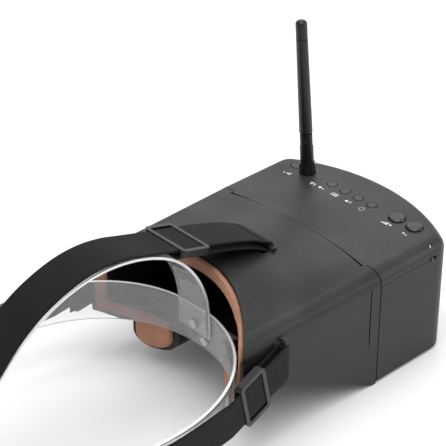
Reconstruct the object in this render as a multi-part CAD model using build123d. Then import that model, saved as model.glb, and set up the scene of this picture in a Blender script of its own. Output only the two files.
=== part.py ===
from build123d import *
import os
from math import cos, radians, sin, sqrt

os.makedirs("parts", exist_ok=True)

# FPV goggles: a box-shaped front housing with screen and radio, a face shroud with copper foam,
# elastic head straps, and the clear plastic head form that keeps the straps in shape on display.
# Millimetres. +X is the wearer's right, +Y is the viewing direction, +Z is up. The origin is on
# the base face, under the middle of the joint between the face shroud and the front housing.

# Driving dimensions
WIDTH = 150.0
HEIGHT = 86.0
DEPTH_FRONT = 85.5
NOSE_RADIUS = 131.0
CORNER_RADIUS = 14.0
EDGE_RADIUS = 9.4
BASE_RADIUS = 3.0
WALL = 2.5
PARTING_Z = 76.0
SEAM = 0.45
JOINT_GAP = 0.8
JOINT_BOW = 4.3
JOINT_HALF = 60.3
JOINT_STEP = 2.1
SHROUD_LENGTH = 118.0
SHROUD_REAR_HALF = 72.0
SHROUD_REAR_SHOULDER = 85.0
SHROUD_REAR_CROWN = 106.0
BELLY_FLAT = -3.0
BELLY_KNEE = (-47.0, 26.0)
BELLY_END = (-82.0, 41.5)
BROW_Y = -82.0
TEMPLE = (64.0, -109.0)
TEMPLE_OUTER_Y = -116.0
FLANGE_WIDTH = 10.5
FLANGE_THICKNESS = 2.2
FOAM_THICKNESS = 3.6
FOAM_EDGE = 2.4
FOAM_GAP = (-29.0, -18.5)
CHEEK_X = 37.0
CHEEK_WIDTH = 29.5
CHEEK_BOTTOM = 12.5
CHEEK_RADIUS = 13.5
CHEEK_SHOULDER_Z = 32.5
CHEEK_FRONT_Y = -64.0
NOSE_HALF = 17.0
NOSE_TOP = 57.0
CONTROL_Y = 55.5
SMALL_BUTTON_XS = (-22.3, -10.1, 2.1, 14.3)
SEARCH_BUTTON_X = -57.0
LARGE_BUTTON_XS = (37.0, 52.2)
SMALL_BUTTON_R = 3.5
SEARCH_BUTTON_R = 3.9
LARGE_BUTTON_R = 5.6
BUTTON_GAP = 0.4
BUTTON_TRAVEL = 0.8
INDICATOR_X = -32.1
ANTENNA_XY = (-45.6, 55.0)
ANTENNA_LEAN = 5.15
ANTENNA_LENGTH = 111.8
HINGE_HEIGHT = 25.0
KNUCKLE_RADIUS = 5.2
FOLD_DIRECTION = 225.0
TOP_WEB_WIDTH = 29.0
SIDE_WEB_WIDTH = 25.5
WEB = 1.4
BAR_RADIUS = 1.5
TOP_BAR = (-39.0, 94.6)
TOP_BUCKLE = (-105.0, 119.6)
TOP_TILT = 16.0
SIDE_BAR = (75.2, -85.5)
SIDE_BUCKLE_Y = -117.0
SIDE_SPLAY = 8.0
SIDE_Z_SLOT = 62.0
SIDE_Z_BACK = 50.0
BUCKLE_RUN = 21.0
TOP_BUCKLE_LENGTH = 38.0
SIDE_BUCKLE_LENGTH = 34.0
BUCKLE_WIDTH = 23.0
BUCKLE_RAIL = 3.0
FORM_THICKNESS = 1.8
HOOP_Z = (36.0, 65.0)
HOOP_FRONT_Y = -88.0
HOOP_BACK_Y = -284.0
HOOP_HALF = 87.0
HOOP_SQUARENESS = 2.15
PATCH_SIZE = (78.0, 48.0)
PATCH_Z = 53.0
PATCH_THICKNESS = 2.2
RIVET_Z = 53.0
RIVET_R = 1.5
STUD_PLACE = (8.0, -88.3, 42.5)
CROWN_WIDTH = 28.0
SCREW_XS = (-67.5, 67.5)
SCREW_YS = (13.0, 38.0)
TONGUE_HALF = 50.0
TONGUE_BACK = -10.0
SHROUD_SCREWS = ((-35.0, -5.0), (35.0, -5.0))
BOARD_TOP = 76.6
SWITCH_TOP = 79.0
BOARD_POSTS = ((25.6, CONTROL_Y), (-38.0, 50.6))
SWITCH_Y = 49.0
SWITCH_Z = PARTING_Z - SEAM / 2
AV_JACK_YZ = (25.5, 20.0)
AV_RADIUS = 3.6
AV_BORE = 1.8
AV_DEPTH = 13.0
USB_Y = 25.5
USB_Z = 36.0
SCREEN_Y = 62.2
LENS_Y = -14.0
VIEW_Z = 41.0
FOAM_SPLIT_Z = 72.0
CORNER_LOW = (27.0, 36.7)
CORNER_HIGH = (61.5, 46.6)
EYE_HALF = 63.5
SIDE_FOAM_HALF = 68.0
CHEEK_FOAM_EDGE = 3.3
REBATE = 1.2
SIDE_GROOVE = (-8.4, 35.0, 77.0)
SIDE_CREASE = ((-54.0, 57.0), (-14.0, 60.5))
CROWN_SETBACK = 2.7
CROWN_BACK_SETBACK = 4.4
CROWN_CLEAR = 3.4
HOOP_POINTS = 36

# Values that follow from those above
LAYER = BAR_RADIUS + 0.35 + WEB / 2
FORM_CLEAR = FORM_THICKNESS / 2 + 0.5 + WEB / 2
BUTTONS = [("search_button", SEARCH_BUTTON_X, SEARCH_BUTTON_R, 0.25)]
BUTTONS += [("small_button_%d" % (i + 1), x, SMALL_BUTTON_R, 0.25) for i, x in enumerate(SMALL_BUTTON_XS)]
BUTTONS += [("large_button_%d" % (i + 1), x, LARGE_BUTTON_R, 1.5) for i, x in enumerate(LARGE_BUTTON_XS)]

BIG = 400.0


def save(node, *solids):
    """Writes one node; several solids share a node as a group."""
    shape = solids[0] if len(solids) == 1 else Compound(children=list(solids))
    shape.label = node
    export_step(shape, "parts/" + node + ".step")


def block(x0, x1, y0, y1, z0, z1):
    """A box from its low and high corners."""
    centre = ((x0 + x1) / 2, (y0 + y1) / 2, (z0 + z1) / 2)
    return Pos(*centre) * Box(x1 - x0, y1 - y0, z1 - z0)


def rod(radius, z0, z1, x=0.0, y=0.0):
    """An upright cylinder between two heights."""
    return Pos(x, y, (z0 + z1) / 2) * Cylinder(radius, z1 - z0)


def mirrored(shape):
    """The same shape on the other side of the middle plane."""
    return mirror(shape, Plane.YZ)


def both_sides(shape):
    return shape + mirrored(shape)


def upright(face, z0, z1):
    """A plan outline pulled up between two heights."""
    return extrude(Pos(0, 0, z0) * face, z1 - z0, dir=(0, 0, 1))


def sideways(face, width):
    """An outline drawn as (y, z) pulled out to both sides of the middle plane."""
    return extrude(Plane.YZ * face, width / 2, both=True)


# Plan outlines


def joint_line(shift):
    """The bowed edge where shroud and front housing meet, as curves from left to right."""
    ends = -JOINT_STEP + shift
    step = shift + 0.2
    corner = (-JOINT_HALF - 1, step)
    left = [Line((-BIG / 4, step), corner), Line(corner, (-JOINT_HALF, ends))]
    bow = ThreePointArc((-JOINT_HALF, ends), (0, JOINT_BOW + shift), (JOINT_HALF, ends))
    right = [Line((JOINT_HALF, ends), (JOINT_HALF + 1, step)), Line((JOINT_HALF + 1, step), (BIG / 4, step))]
    return left + [bow] + right


def ahead_of_joint(shift):
    """Everything in front of the joint line."""
    x, y = BIG / 4, shift + 0.2
    return make_face(joint_line(shift) + [Polyline((x, y), (x, BIG), (-x, BIG), (-x, y))])


def rim_line(shift):
    """The rear rim in plan: a concave brow arc that runs out to the temples."""
    (tx, ty), ox = TEMPLE, BIG / 4
    brow = ThreePointArc((-tx, ty + shift), (0, BROW_Y + shift), (tx, ty + shift))
    outer_y = TEMPLE_OUTER_Y + shift
    left = Polyline((-ox, outer_y), (-SHROUD_REAR_HALF, outer_y), (-tx, ty + shift))
    right = Polyline((tx, ty + shift), (SHROUD_REAR_HALF, outer_y), (ox, outer_y))
    return [left, brow, right]


def ahead_of_rim(shift):
    """Everything in front of the rear rim."""
    x, y = BIG / 4, TEMPLE_OUTER_Y + shift
    return make_face(rim_line(shift) + [Polyline((x, y), (x, BIG), (-x, BIG), (-x, y))])


def nose_plan(inset):
    """The front housing seen from above, before its rear edge is cut to the joint line."""
    half, radius = WIDTH / 2 - inset, NOSE_RADIUS - inset
    centre_y = DEPTH_FRONT - NOSE_RADIUS
    side_y = centre_y + sqrt(radius**2 - half**2)
    arc = ThreePointArc((half, side_y), (0, centre_y + radius), (-half, side_y))
    face = make_face([arc, Polyline((-half, side_y), (-half, -30), (half, -30), (half, side_y))])
    corners = face.vertices().sort_by(Axis.Y)[-2:]
    return fillet(corners, CORNER_RADIUS - inset)


def housing_block(inset, z0, z1, top_radius, base_radius):
    """The front housing's full form between two heights, with its long edges rounded."""
    body = upright(nose_plan(inset), z0, z1)
    if top_radius:
        rim = body.faces().sort_by(Axis.Z)[-1].edges().filter_by(lambda e: e.center().Y > -25)
        body = fillet(rim, top_radius)
    if base_radius:
        rim = body.faces().sort_by(Axis.Z)[0].edges().filter_by(lambda e: e.center().Y > -25)
        body = fillet(rim, base_radius)
    return body


# The shroud's form


def shroud_section(y, half, shoulder, crown, inset):
    """One upright section of the shroud: straight sides, rounded shoulders and an arched top."""
    w, s, c = half - inset, shoulder - inset, crown - inset
    r = max(EDGE_RADIUS - inset, 2.0)
    k = r * (1 - sqrt(0.5))
    low = -30.0
    edges = [
        Polyline((-w, s - r), (-w, low), (w, low), (w, s - r)),
        ThreePointArc((w, s - r), (w - k, s - k), (w - r, s)),
        ThreePointArc((w - r, s), (0, c), (-w + r, s)),
        ThreePointArc((-w + r, s), (-w + k, s - k), (-w, s - r)),
    ]
    return Plane((0, y, 0), x_dir=(1, 0, 0), z_dir=(0, -1, 0)) * make_face(edges)


def above_belly(inset):
    """Everything above the shroud's underside, which climbs from the base to the cheeks."""
    i = inset
    (ky, kz), (ey, ez) = BELLY_KNEE, BELLY_END
    points = [(60, i), (BELLY_FLAT - 0.3 * i, i), (ky, kz + 1.15 * i), (ey, ez + i), (-BIG / 2, ez + i)]
    outline = Polyline(*points, (-BIG / 2, BIG / 2), (60, BIG / 2), (60, i))
    return sideways(make_face(outline), BIG)


def shroud_form(inset):
    """The shroud's outer form moved inwards, open-ended front and rear."""
    front = shroud_section(12.0, WIDTH / 2 + 0.2, HEIGHT + 0.1, HEIGHT + 0.2, inset)
    rear_size = (SHROUD_REAR_HALF, SHROUD_REAR_SHOULDER, SHROUD_REAR_CROWN)
    rear = shroud_section(-SHROUD_LENGTH - 6, *rear_size, inset)
    return loft([front, rear], ruled=True) & above_belly(inset)


def rim_band(rear, front):
    """The upright slice between two copies of the rim line."""
    return upright(ahead_of_rim(rear), -50, 150) - upright(ahead_of_rim(front), -60, 160)


def cheek_outline(inset):
    """The U-shaped cheek rest seen from behind, on the wearer's right, with a sloping shoulder."""
    half, low, high = CHEEK_WIDTH / 2 - inset, CHEEK_BOTTOM + inset, BELLY_END[1] + 1.0
    sketch = Pos(CHEEK_X, (low + high) / 2) * Rectangle(2 * half, high - low)
    sketch = fillet(sketch.vertices().sort_by(Axis.Y)[:2], CHEEK_RADIUS - inset)
    inner, outer = CHEEK_X + half - 4.0, SHROUD_REAR_HALF - inset
    slope = [(inner, CHEEK_SHOULDER_Z + inset - 1.5), (outer, BELLY_END[1] - 2.5 + inset)]
    return sketch + make_face(Polyline((inner, high), *slope, (outer, high), (inner, high)))


def cheek_form(inset, y0, y1):
    """The cheek rest's U pulled along the viewing direction."""
    plane = Plane((0, y0, 0), x_dir=(1, 0, 0), z_dir=(0, -1, 0))
    return extrude(plane * cheek_outline(inset), -(y1 - y0))


# Ribbons


def ribbon_face(path, offset, thickness, samples=14):
    """A flat strip of one thickness along one curve, moved sideways by an offset."""
    left, right = [], []
    for i in range(samples + 1):
        point, tangent = path @ (i / samples), path % (i / samples)
        normal = Vector(-tangent.Y, tangent.X)
        left.append(point + normal * (offset + thickness / 2))
        right.append(point + normal * (offset - thickness / 2))
    ends = [path % 0, path % 1]
    if path.geom_type == GeomType.LINE:
        sides = [Line(left[0], left[-1]), Line(right[0], right[-1])]
    else:
        sides = [Spline(*left, tangents=ends), Spline(*right, tangents=ends)]
    caps = [Line(left[0], right[0]), Line(left[-1], right[-1])]
    return make_face(sides + caps)


def turn(point, degrees, length):
    """The point reached by going a length in a direction."""
    return (point[0] + length * cos(radians(degrees)), point[1] + length * sin(radians(degrees)))


def fold(centre, heading, offset, thickness):
    """Half a ring of webbing round a bar, open towards the heading."""
    ring = Circle(offset + thickness / 2) - Circle(offset - thickness / 2)
    half = Pos(-BIG / 8, 0) * Rectangle(BIG / 4, BIG / 4)
    return Pos(*centre) * Rot(0, 0, heading) * (ring & half)


# ---- Front housing ----


def front_lower_shell():
    body = housing_block(0, 0, PARTING_Z - SEAM, 0, BASE_RADIUS)
    body -= housing_block(WALL, WALL, HEIGHT, 0, 1.0)
    body &= upright(ahead_of_joint(JOINT_GAP / 2), -10, 200)
    tongue = block(-TONGUE_HALF, TONGUE_HALF, TONGUE_BACK, 12, 0, WALL)
    body += fillet(tongue.edges().filter_by(Axis.Z).sort_by(Axis.Y)[:2], 4)
    for x in SCREW_XS:
        for y in SCREW_YS:
            body += rod(3.4, 0.5, 9.5, x, y)
            body -= rod(2.7, -1, 2.0, x, y)
            body -= rod(1.4, -1, 30, x, y)
    for x, y in SHROUD_SCREWS:
        body -= rod(2.7, -1, 1.4, x, y)
        body -= rod(1.4, -1, 5, x, y)
    body -= POWER_SLOT
    body -= Pos(-WIDTH / 2, *AV_JACK_YZ) * Rot(0, 90, 0) * Cylinder(AV_RADIUS + 0.15, 12)
    body -= block(-WIDTH / 2 - 5, -WIDTH / 2 + 5, USB_Y - 4.7, USB_Y + 4.7, USB_Z - 2.1, USB_Z + 2.1)
    return body


def front_top_cover():
    body = housing_block(0, PARTING_Z, HEIGHT, EDGE_RADIUS, 0)
    body -= housing_block(WALL, PARTING_Z - 20, HEIGHT - WALL, EDGE_RADIUS - WALL, 0)
    body &= upright(ahead_of_joint(JOINT_GAP / 2), -10, 200)
    for x in SCREW_XS:
        for y in SCREW_YS:
            post = rod(3.2, 9.7, HEIGHT - WALL + 0.5, x, y)
            cap = upright(nose_plan(0.6), 0, 78) + upright(nose_plan(EDGE_RADIUS), 70, 90)
            body += post & cap
            body -= rod(1.25, 5, 24, x, y)
    for x, y in BOARD_POSTS:
        body += rod(1.8, BOARD_TOP, HEIGHT - WALL + 0.5, x, y)
    for _, x, radius, _ in BUTTONS:
        body -= rod(radius + BUTTON_GAP, HEIGHT - 6, HEIGHT + 2, x, CONTROL_Y)
    for x in LARGE_BUTTON_XS:
        body -= Pos(x, CONTROL_Y, HEIGHT) * Cone(LARGE_BUTTON_R, LARGE_BUTTON_R + 1.2, 1.0)
    body -= rod(1.0, HEIGHT - 6, HEIGHT + 2, INDICATOR_X, CONTROL_Y)
    body -= lean(rod(5.9, -6, 4))
    body -= POWER_SLOT
    return body


def lean(shape):
    """Moves a shape built on the antenna's own axis to its place on the top cover."""
    return Pos(*ANTENNA_XY, HEIGHT) * Rot(0, -ANTENNA_LEAN, 0) * shape


def button_cap(x, radius, rise):
    """A round push button with a retaining flange and a stem down to its switch."""
    top = HEIGHT + rise
    head = rod(radius, HEIGHT - 3.0, top, x, CONTROL_Y)
    edge = head.faces().sort_by(Axis.Z)[-1].edges()
    head = fillet(edge, min(0.45 * radius, rise + 0.25))
    flange = rod(radius + 0.9, HEIGHT - WALL - BUTTON_TRAVEL - 0.9, HEIGHT - WALL - 0.1, x, CONTROL_Y)
    stem = rod(1.6, SWITCH_TOP + BUTTON_TRAVEL + 0.1, HEIGHT - 3.0, x, CONTROL_Y)
    return head + flange + stem


slot_y0, slot_y1 = SWITCH_Y - 2.7, SWITCH_Y + 2.7
POWER_SLOT = block(WIDTH / 2 - 6, WIDTH / 2 + 3, slot_y0, slot_y1, SWITCH_Z - 1.6, SWITCH_Z + 1.6)

save("front_lower_shell", front_lower_shell())
save("front_top_cover", front_top_cover())

for name, *sizes in BUTTONS:
    save(name, button_cap(*sizes))

board = block(-63, 60, 49, 61.6, BOARD_TOP - 1.6, BOARD_TOP) - rod(5.6, 60, 90, *ANTENNA_XY)
board -= block(-40.5, -20, 49 - 1, 49.2, 60, 90)
save("button_board", board)
switches = []
for _, button_x, _, _ in BUTTONS:
    base = block(button_x - 3, button_x + 3, CONTROL_Y - 3, CONTROL_Y + 3, BOARD_TOP, SWITCH_TOP - 0.6)
    switches.append(base + rod(1.7, SWITCH_TOP - 0.7, SWITCH_TOP, button_x, CONTROL_Y))
save("tactile_switches", *switches)
save("indicator_light", rod(0.95, BOARD_TOP, HEIGHT + 0.05, INDICATOR_X, CONTROL_Y))

knob_y0, knob_y1 = SWITCH_Y - 2.3, SWITCH_Y + 0.3
knob = block(WIDTH / 2 - 4, WIDTH / 2 + 0.7, knob_y0, knob_y1, SWITCH_Z - 1.35, SWITCH_Z + 1.35)
save("power_switch_knob", fillet(knob.faces().sort_by(Axis.X)[-1].edges(), 0.4))
switch_y0, switch_y1 = SWITCH_Y - 4.5, SWITCH_Y + 4.5
save("power_switch_body", block(65, WIDTH / 2 - 4.1, switch_y0, switch_y1, SWITCH_Z - 2, SWITCH_Z + 2))

jack = Rot(0, 90, 0) * (rod(AV_RADIUS, 0, AV_DEPTH + 1.5) - rod(AV_BORE, -1, AV_DEPTH))
save("av_jack", Pos(-WIDTH / 2 - 0.2, *AV_JACK_YZ) * jack)
usb = block(-WIDTH / 2 - 0.2, -WIDTH / 2 + 6.5, USB_Y - 4.5, USB_Y + 4.5, USB_Z - 1.9, USB_Z + 1.9)
usb = fillet(usb.edges().filter_by(Axis.X), 1.1)
usb -= block(-WIDTH / 2 - 1, -WIDTH / 2 + 5.5, USB_Y - 3.9, USB_Y + 3.9, USB_Z - 1.3, USB_Z + 1.3)
usb += block(-WIDTH / 2 + 1, -WIDTH / 2 + 6, USB_Y - 2.9, USB_Y + 2.9, USB_Z - 0.35, USB_Z + 0.35)
save("charge_socket", usb)

# Screen, optics and electronics
bezel = block(-72.3, 72.3, 59.4, SCREEN_Y, WALL + 1.2, 74.8) & upright(nose_plan(WALL + 0.3), 0, 90)
bezel -= block(-56, 56, 50, 70, VIEW_Z - 32, VIEW_Z + 32)
save("screen_bezel", bezel)
save("screen_panel", block(-60.3, 60.3, SCREEN_Y, SCREEN_Y + 3.6, WALL + 1, WALL + 77))
save("main_board", block(-44, 44, 69, 70.6, 16, 76))
save("receiver_module", block(-42, -12, 70.6, 74.2, 48, 74))
save("battery", block(-26, 26, 70.9, 78.9, 6, 46))
frame = shroud_form(WALL + 0.3) & block(-80, 80, LENS_Y, LENS_Y + 2.5, -5, 120)
window = Pos(0, LENS_Y, VIEW_Z + 3) * Rot(90, 0, 0) * extrude(RectangleRounded(112, 58, 8), 10, both=True)
save("lens_frame", frame - window)
lens_plane = Plane((0, LENS_Y, VIEW_Z + 3), x_dir=(1, 0, 0), z_dir=(0, -1, 0))
lens = extrude(lens_plane * RectangleRounded(119, 65, 9), 2.4)
save("fresnel_lens", lens)

# ---- Face shroud ----


def shroud_body():
    """The moulded shroud: a tapering tube with a rear flange, cheek rests and strap slots."""
    full = shroud_form(0) + both_sides(cheek_form(0, -150, CHEEK_FRONT_Y))
    hollow = shroud_form(WALL)
    flange_hole = shroud_form(FLANGE_WIDTH)
    body = full - (hollow & upright(ahead_of_rim(FLANGE_THICKNESS), -50, 150)) - flange_hole
    body -= both_sides(eye_corner()) & rim_band(-1, FLANGE_THICKNESS)
    pockets = cheek_form(2.0, -150, CHEEK_FRONT_Y - 2.0) & upright(ahead_of_rim(FLANGE_THICKNESS), -50, 150)
    chimney = block(CHEEK_X - 11, CHEEK_X + 11, -90, CHEEK_FRONT_Y - 3, 38, 60)
    pockets += chimney & upright(ahead_of_rim(FLANGE_THICKNESS + 2), -50, 150)
    body -= both_sides(pockets)
    body &= upright(ahead_of_rim(0), -50, 150)
    body -= upright(ahead_of_joint(-JOINT_GAP / 2), -60, 160)
    rebate = block(-WIDTH / 2 + CORNER_RADIUS, WIDTH / 2 - CORNER_RADIUS, -60, 20, HEIGHT - REBATE, 120)
    body -= rebate & upright(ahead_of_joint(-JOINT_GAP / 2 - REBATE), -60, 160)
    nose = Pos(0, NOSE_TOP - NOSE_HALF) * Circle(NOSE_HALF)
    nose += Pos(0, NOSE_TOP - NOSE_HALF - 20) * Rectangle(2 * NOSE_HALF, 40)
    body -= extrude(Plane((0, -66, 0), x_dir=(1, 0, 0), z_dir=(0, -1, 0)) * nose, 60)
    body -= block(-TONGUE_HALF - 0.3, TONGUE_HALF + 0.3, TONGUE_BACK - 0.3, 20, -5, WALL + 0.2)
    for x, y in SHROUD_SCREWS:
        body += rod(3.2, WALL + 0.2, 10.5, x, y)
        body -= rod(1.25, -1, 9.5, x, y)
    body -= block(-TOP_WEB_WIDTH / 2 - 2, TOP_WEB_WIDTH / 2 + 2, TOP_BAR[0] - 9, TOP_BAR[0] + 4.2, 80, 120)
    slot_half = SIDE_WEB_WIDTH / 2 + 1.8
    slot_z0, slot_z1 = SIDE_Z_SLOT - slot_half, SIDE_Z_SLOT + slot_half
    slot_y0, slot_y1 = SIDE_BAR[1] - 8.5, SIDE_BAR[1] + 4.0
    body += both_sides(block(68.6, 72.2, slot_y0 - 1.2, slot_y1 + 1.2, slot_z0 - 1.2, slot_z1 + 1.2))
    body -= both_sides(block(70.6, 90, slot_y0, slot_y1, slot_z0, slot_z1))
    body -= both_sides(wall_lines())
    top_bar = Pos(0, *TOP_BAR) * Rot(0, 90, 0) * Cylinder(BAR_RADIUS, TOP_WEB_WIDTH + 3)
    ear_x = TOP_WEB_WIDTH / 2 + 0.7
    ear = block(ear_x, ear_x + 3.2, TOP_BAR[0] - 1.8, TOP_BAR[0] + 1.8, 88, TOP_BAR[1] + 0.8)
    top_bar += both_sides(fillet(ear.edges().filter_by(Axis.X).sort_by(Axis.Z)[-2:], 1.2))
    side_bar = rod(BAR_RADIUS, slot_z0 - 2, slot_z1 + 2, *SIDE_BAR)
    for z in (slot_z0 - 2, slot_z1 - 0.2):
        side_bar += block(70, SIDE_BAR[0] + 0.8, SIDE_BAR[1] - 1.8, SIDE_BAR[1] + 1.8, z, z + 2.2)
    return body + top_bar + both_sides(side_bar)


def wall_lines():
    """The upright groove behind the joint and the shallow crease along the right wall."""
    y, low, high = SIDE_GROOVE
    groove = block(WIDTH / 2 - 0.9, WIDTH / 2 + 2, y - 0.5, y + 0.5, low, high)
    (y0, z0), (y1, z1) = SIDE_CREASE
    edges = Polyline((y0, z0), (y1, z1), (y1, z1 - 0.7), (y0, z0 - 0.2), (y0, z0))
    crease = extrude(Plane.YZ * make_face(edges), WIDTH / 2 + 2)
    slab = Plane((WIDTH / 2 - 0.9, 0, 0), x_dir=(0, 1, 0), z_dir=(1, 0.0235, 0))
    return groove + (crease & extrude(slab * Rectangle(BIG, BIG), 6))


def foam_ring():
    """The foam strip on the rear flange, with the cheek rests covered in full."""
    strip = shroud_form(FOAM_EDGE) - shroud_form(FLANGE_WIDTH + 0.2)
    strip -= both_sides(block(SIDE_FOAM_HALF, 90, -150, 0, 0, FOAM_SPLIT_Z))
    cheeks = cheek_form(CHEEK_FOAM_EDGE, -150, 0) + cheek_bridge()
    ring = strip + both_sides(cheeks) - both_sides(eye_corner())
    return ring & rim_band(-FOAM_THICKNESS, -0.02)


def cheek_bridge():
    """Foam between the strip on the flange and the cheek rest."""
    low, high = BELLY_END[1] - 1.0, BELLY_END[1] + FLANGE_WIDTH
    inner = CHEEK_X - CHEEK_WIDTH / 2 + CHEEK_FOAM_EDGE
    return block(inner, SIDE_FOAM_HALF, -150, 0, low, high)


def eye_corner():
    """The lower outer corner of the opening for the eyes, above the cheek rest."""
    (x0, z0), (x1, z1) = CORNER_LOW, CORNER_HIGH
    upper = [(EYE_HALF, FOAM_SPLIT_Z - 1), (EYE_HALF - 4, 82), (0, 82)]
    outline = Polyline((0, 82), (0, z0), (x0, z0), (x1, z1), (EYE_HALF, z1 + 3), *upper)
    plane = Plane((0, 0, 0), x_dir=(1, 0, 0), z_dir=(0, -1, 0))
    return extrude(plane * make_face(outline), 150)


def clear_of_nose(shape):
    return shape - block(-NOSE_HALF - 9, NOSE_HALF + 9, -150, 0, -50, NOSE_TOP + 12)


save("face_shroud", shroud_body())
foam = clear_of_nose(foam_ring())
upper = foam & block(-BIG, BIG, -BIG, BIG, FOAM_SPLIT_Z + 0.2, BIG)
lower = foam & block(-BIG, BIG, -BIG, BIG, -BIG, FOAM_SPLIT_Z - 0.2)
save("forehead_foam_left", upper & block(-BIG, FOAM_GAP[0], -BIG, BIG, -BIG, BIG))
save("forehead_foam_right", upper & block(FOAM_GAP[1], BIG, -BIG, BIG, -BIG, BIG))
save("cheek_foam_left", lower & block(-BIG, 0, -BIG, BIG, -BIG, BIG))
save("cheek_foam_right", lower & block(0, BIG, -BIG, BIG, -BIG, BIG))

# ---- Antenna, built upright on its own axis and leaned at the end ----
connector = rod(5.0, -9.0, -0.4) + rod(3.1, -0.5, 5.6)
connector = fillet(connector.edges().sort_by(Axis.Z)[-1], 0.4)
save("antenna_connector", lean(connector))
collar = rod(5.6, 0.6, 7.6) - rod(3.2, 0, 6.0) - rod(4.42, 5.8, 9)
save("antenna_collar", lean(chamfer(collar.edges().filter_by(GeomType.CIRCLE).sort_by(Axis.Z)[-1], 0.3)))

fold_turn = Rot(0, 0, FOLD_DIRECTION)
barrel = rod(4.35, 6.2, 8.2) + rod(4.75, 7.9, HINGE_HEIGHT + 5.2)
cheek_slot = block(-6, 6, -2.1, 2.1, HINGE_HEIGHT - 5.4, 60)
barrel -= cheek_slot
barrel -= Pos(0, 0, HINGE_HEIGHT) * Rot(90, 0, 0) * Cylinder(1.15, 20)
knuckle = Pos(0, 0, HINGE_HEIGHT) * Rot(90, 0, 0) * Cylinder(KNUCKLE_RADIUS, 20)
barrel -= block(-6, 6, -6, 6, HINGE_HEIGHT, 60) - knuckle
save("antenna_barrel", lean(fold_turn * barrel))
pin = Pos(0, 0, HINGE_HEIGHT) * Rot(90, 0, 0) * Cylinder(1.1, 8.9)
save("hinge_pin", lean(fold_turn * pin))

whip_low = HINGE_HEIGHT + 5.6
tip_z = ANTENNA_LENGTH - 3.4
whip = Pos(0, 0, (whip_low + tip_z - 10) / 2) * Cone(4.6, 4.0, tip_z - 10 - whip_low)
whip += rod(3.55, tip_z - 10.2, tip_z - 9)
tongue = block(-2.9, 2.9, -1.9, 1.9, HINGE_HEIGHT, whip_low + 2)
tongue += Pos(0, 0, HINGE_HEIGHT) * Rot(90, 0, 0) * Cylinder(2.9, 3.8)
whip += tongue
whip -= Pos(0, 0, HINGE_HEIGHT) * Rot(90, 0, 0) * Cylinder(1.17, 20)
save("antenna_whip", lean(fold_turn * whip))
cap = rod(3.95, tip_z - 8.98, ANTENNA_LENGTH)
save("antenna_tip", lean(fillet(cap.edges().sort_by(Axis.Z)[-1], 3.0)))

# ---- Paths of the clear head form ----


def hoop_point(turn_from_front, grow):
    """A point of the hoop's squared oval, moved outwards, for an angle from the front in degrees."""
    a, power = radians(turn_from_front), 2 / HOOP_SQUARENESS
    half_length = (HOOP_FRONT_Y - HOOP_BACK_Y) / 2
    x = (HOOP_HALF + grow) * abs(sin(a)) ** power
    y = (half_length + grow) * abs(cos(a)) ** power
    x = x if sin(a) >= 0 else -x
    y = y if cos(a) >= 0 else -y
    return (x, HOOP_FRONT_Y - half_length + y)


def hoop_outline(grow):
    """The hoop's closed outline, moved outwards."""
    points = [hoop_point(360 / HOOP_POINTS * i, grow) for i in range(HOOP_POINTS)]
    return make_face(Spline(*points, periodic=True))


crown_path = Spline(
    (HOOP_FRONT_Y - CROWN_SETBACK, 47.5),
    (HOOP_FRONT_Y - CROWN_SETBACK, 60),
    (-93, 80),
    (-102, 101),
    (-118, 119),
    (-144, 131.5),
    (-174, 135.5),
    (-203, 130),
    (-230, 115),
    (-255, 91),
    (-271, 74),
    (-278.5, 61.5),
    (HOOP_BACK_Y + CROWN_BACK_SETBACK, 53),
    (HOOP_BACK_Y + CROWN_BACK_SETBACK, 43),
)

# ---- Straps ----
top_heading = 180.0 - TOP_TILT
top_run_start = turn(TOP_BUCKLE, top_heading, -BUCKLE_RUN)
top_run_end = turn(TOP_BUCKLE, top_heading, BUCKLE_RUN)
first_heading = 149.0
first_dir = turn((0, 0), first_heading, 1)
run_dir = turn((0, 0), top_heading, 1)
top_rise = Spline(TOP_BAR, turn(TOP_BAR, 152.5, 20), top_run_start, tangents=[first_dir, run_dir])
top_run = Line(top_run_start, top_run_end)
head_points = []
for share in (0.52, 0.58, 0.65, 0.72, 0.79):
    tangent = crown_path % share
    head_points.append(crown_path @ share + Vector(-tangent.Y, tangent.X) * (LAYER - CROWN_CLEAR))
back_y = HOOP_BACK_Y - FORM_CLEAR + LAYER
tail_top, tail_low = (back_y, 74), (back_y, 45)
head_arc = Spline(top_run_end, *head_points, tail_top, tangents=[run_dir, (0, -1)])
top_faces = [ribbon_face(p, -LAYER, WEB) for p in (top_rise, top_run, head_arc, Line(tail_top, tail_low))]
lower_run = Line(top_run_start, turn(TOP_BUCKLE, top_heading, 13))
top_faces += [ribbon_face(p, LAYER, WEB) for p in (top_rise, lower_run)]
top_faces += [fold(TOP_BAR, first_heading, LAYER, WEB)]
top_strap = sideways(top_faces[0], TOP_WEB_WIDTH)
for face in top_faces[1:]:
    top_strap += sideways(face, TOP_WEB_WIDTH)
save("top_strap", top_strap)

side_heading = -90 + SIDE_SPLAY
to_buckle = (SIDE_BAR[1] - SIDE_BUCKLE_Y) / cos(radians(SIDE_SPLAY))
side_run_end = turn(SIDE_BAR, side_heading, to_buckle + BUCKLE_RUN)
side_dir = turn((0, 0), side_heading, 1)
side_shift = Vector(-side_dir[1], side_dir[0]) * LAYER
back_points = [hoop_point(angle, FORM_CLEAR) for angle in range(85, 168, 9)]
side_back = Spline(Vector(*side_run_end) + side_shift, *back_points)


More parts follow.
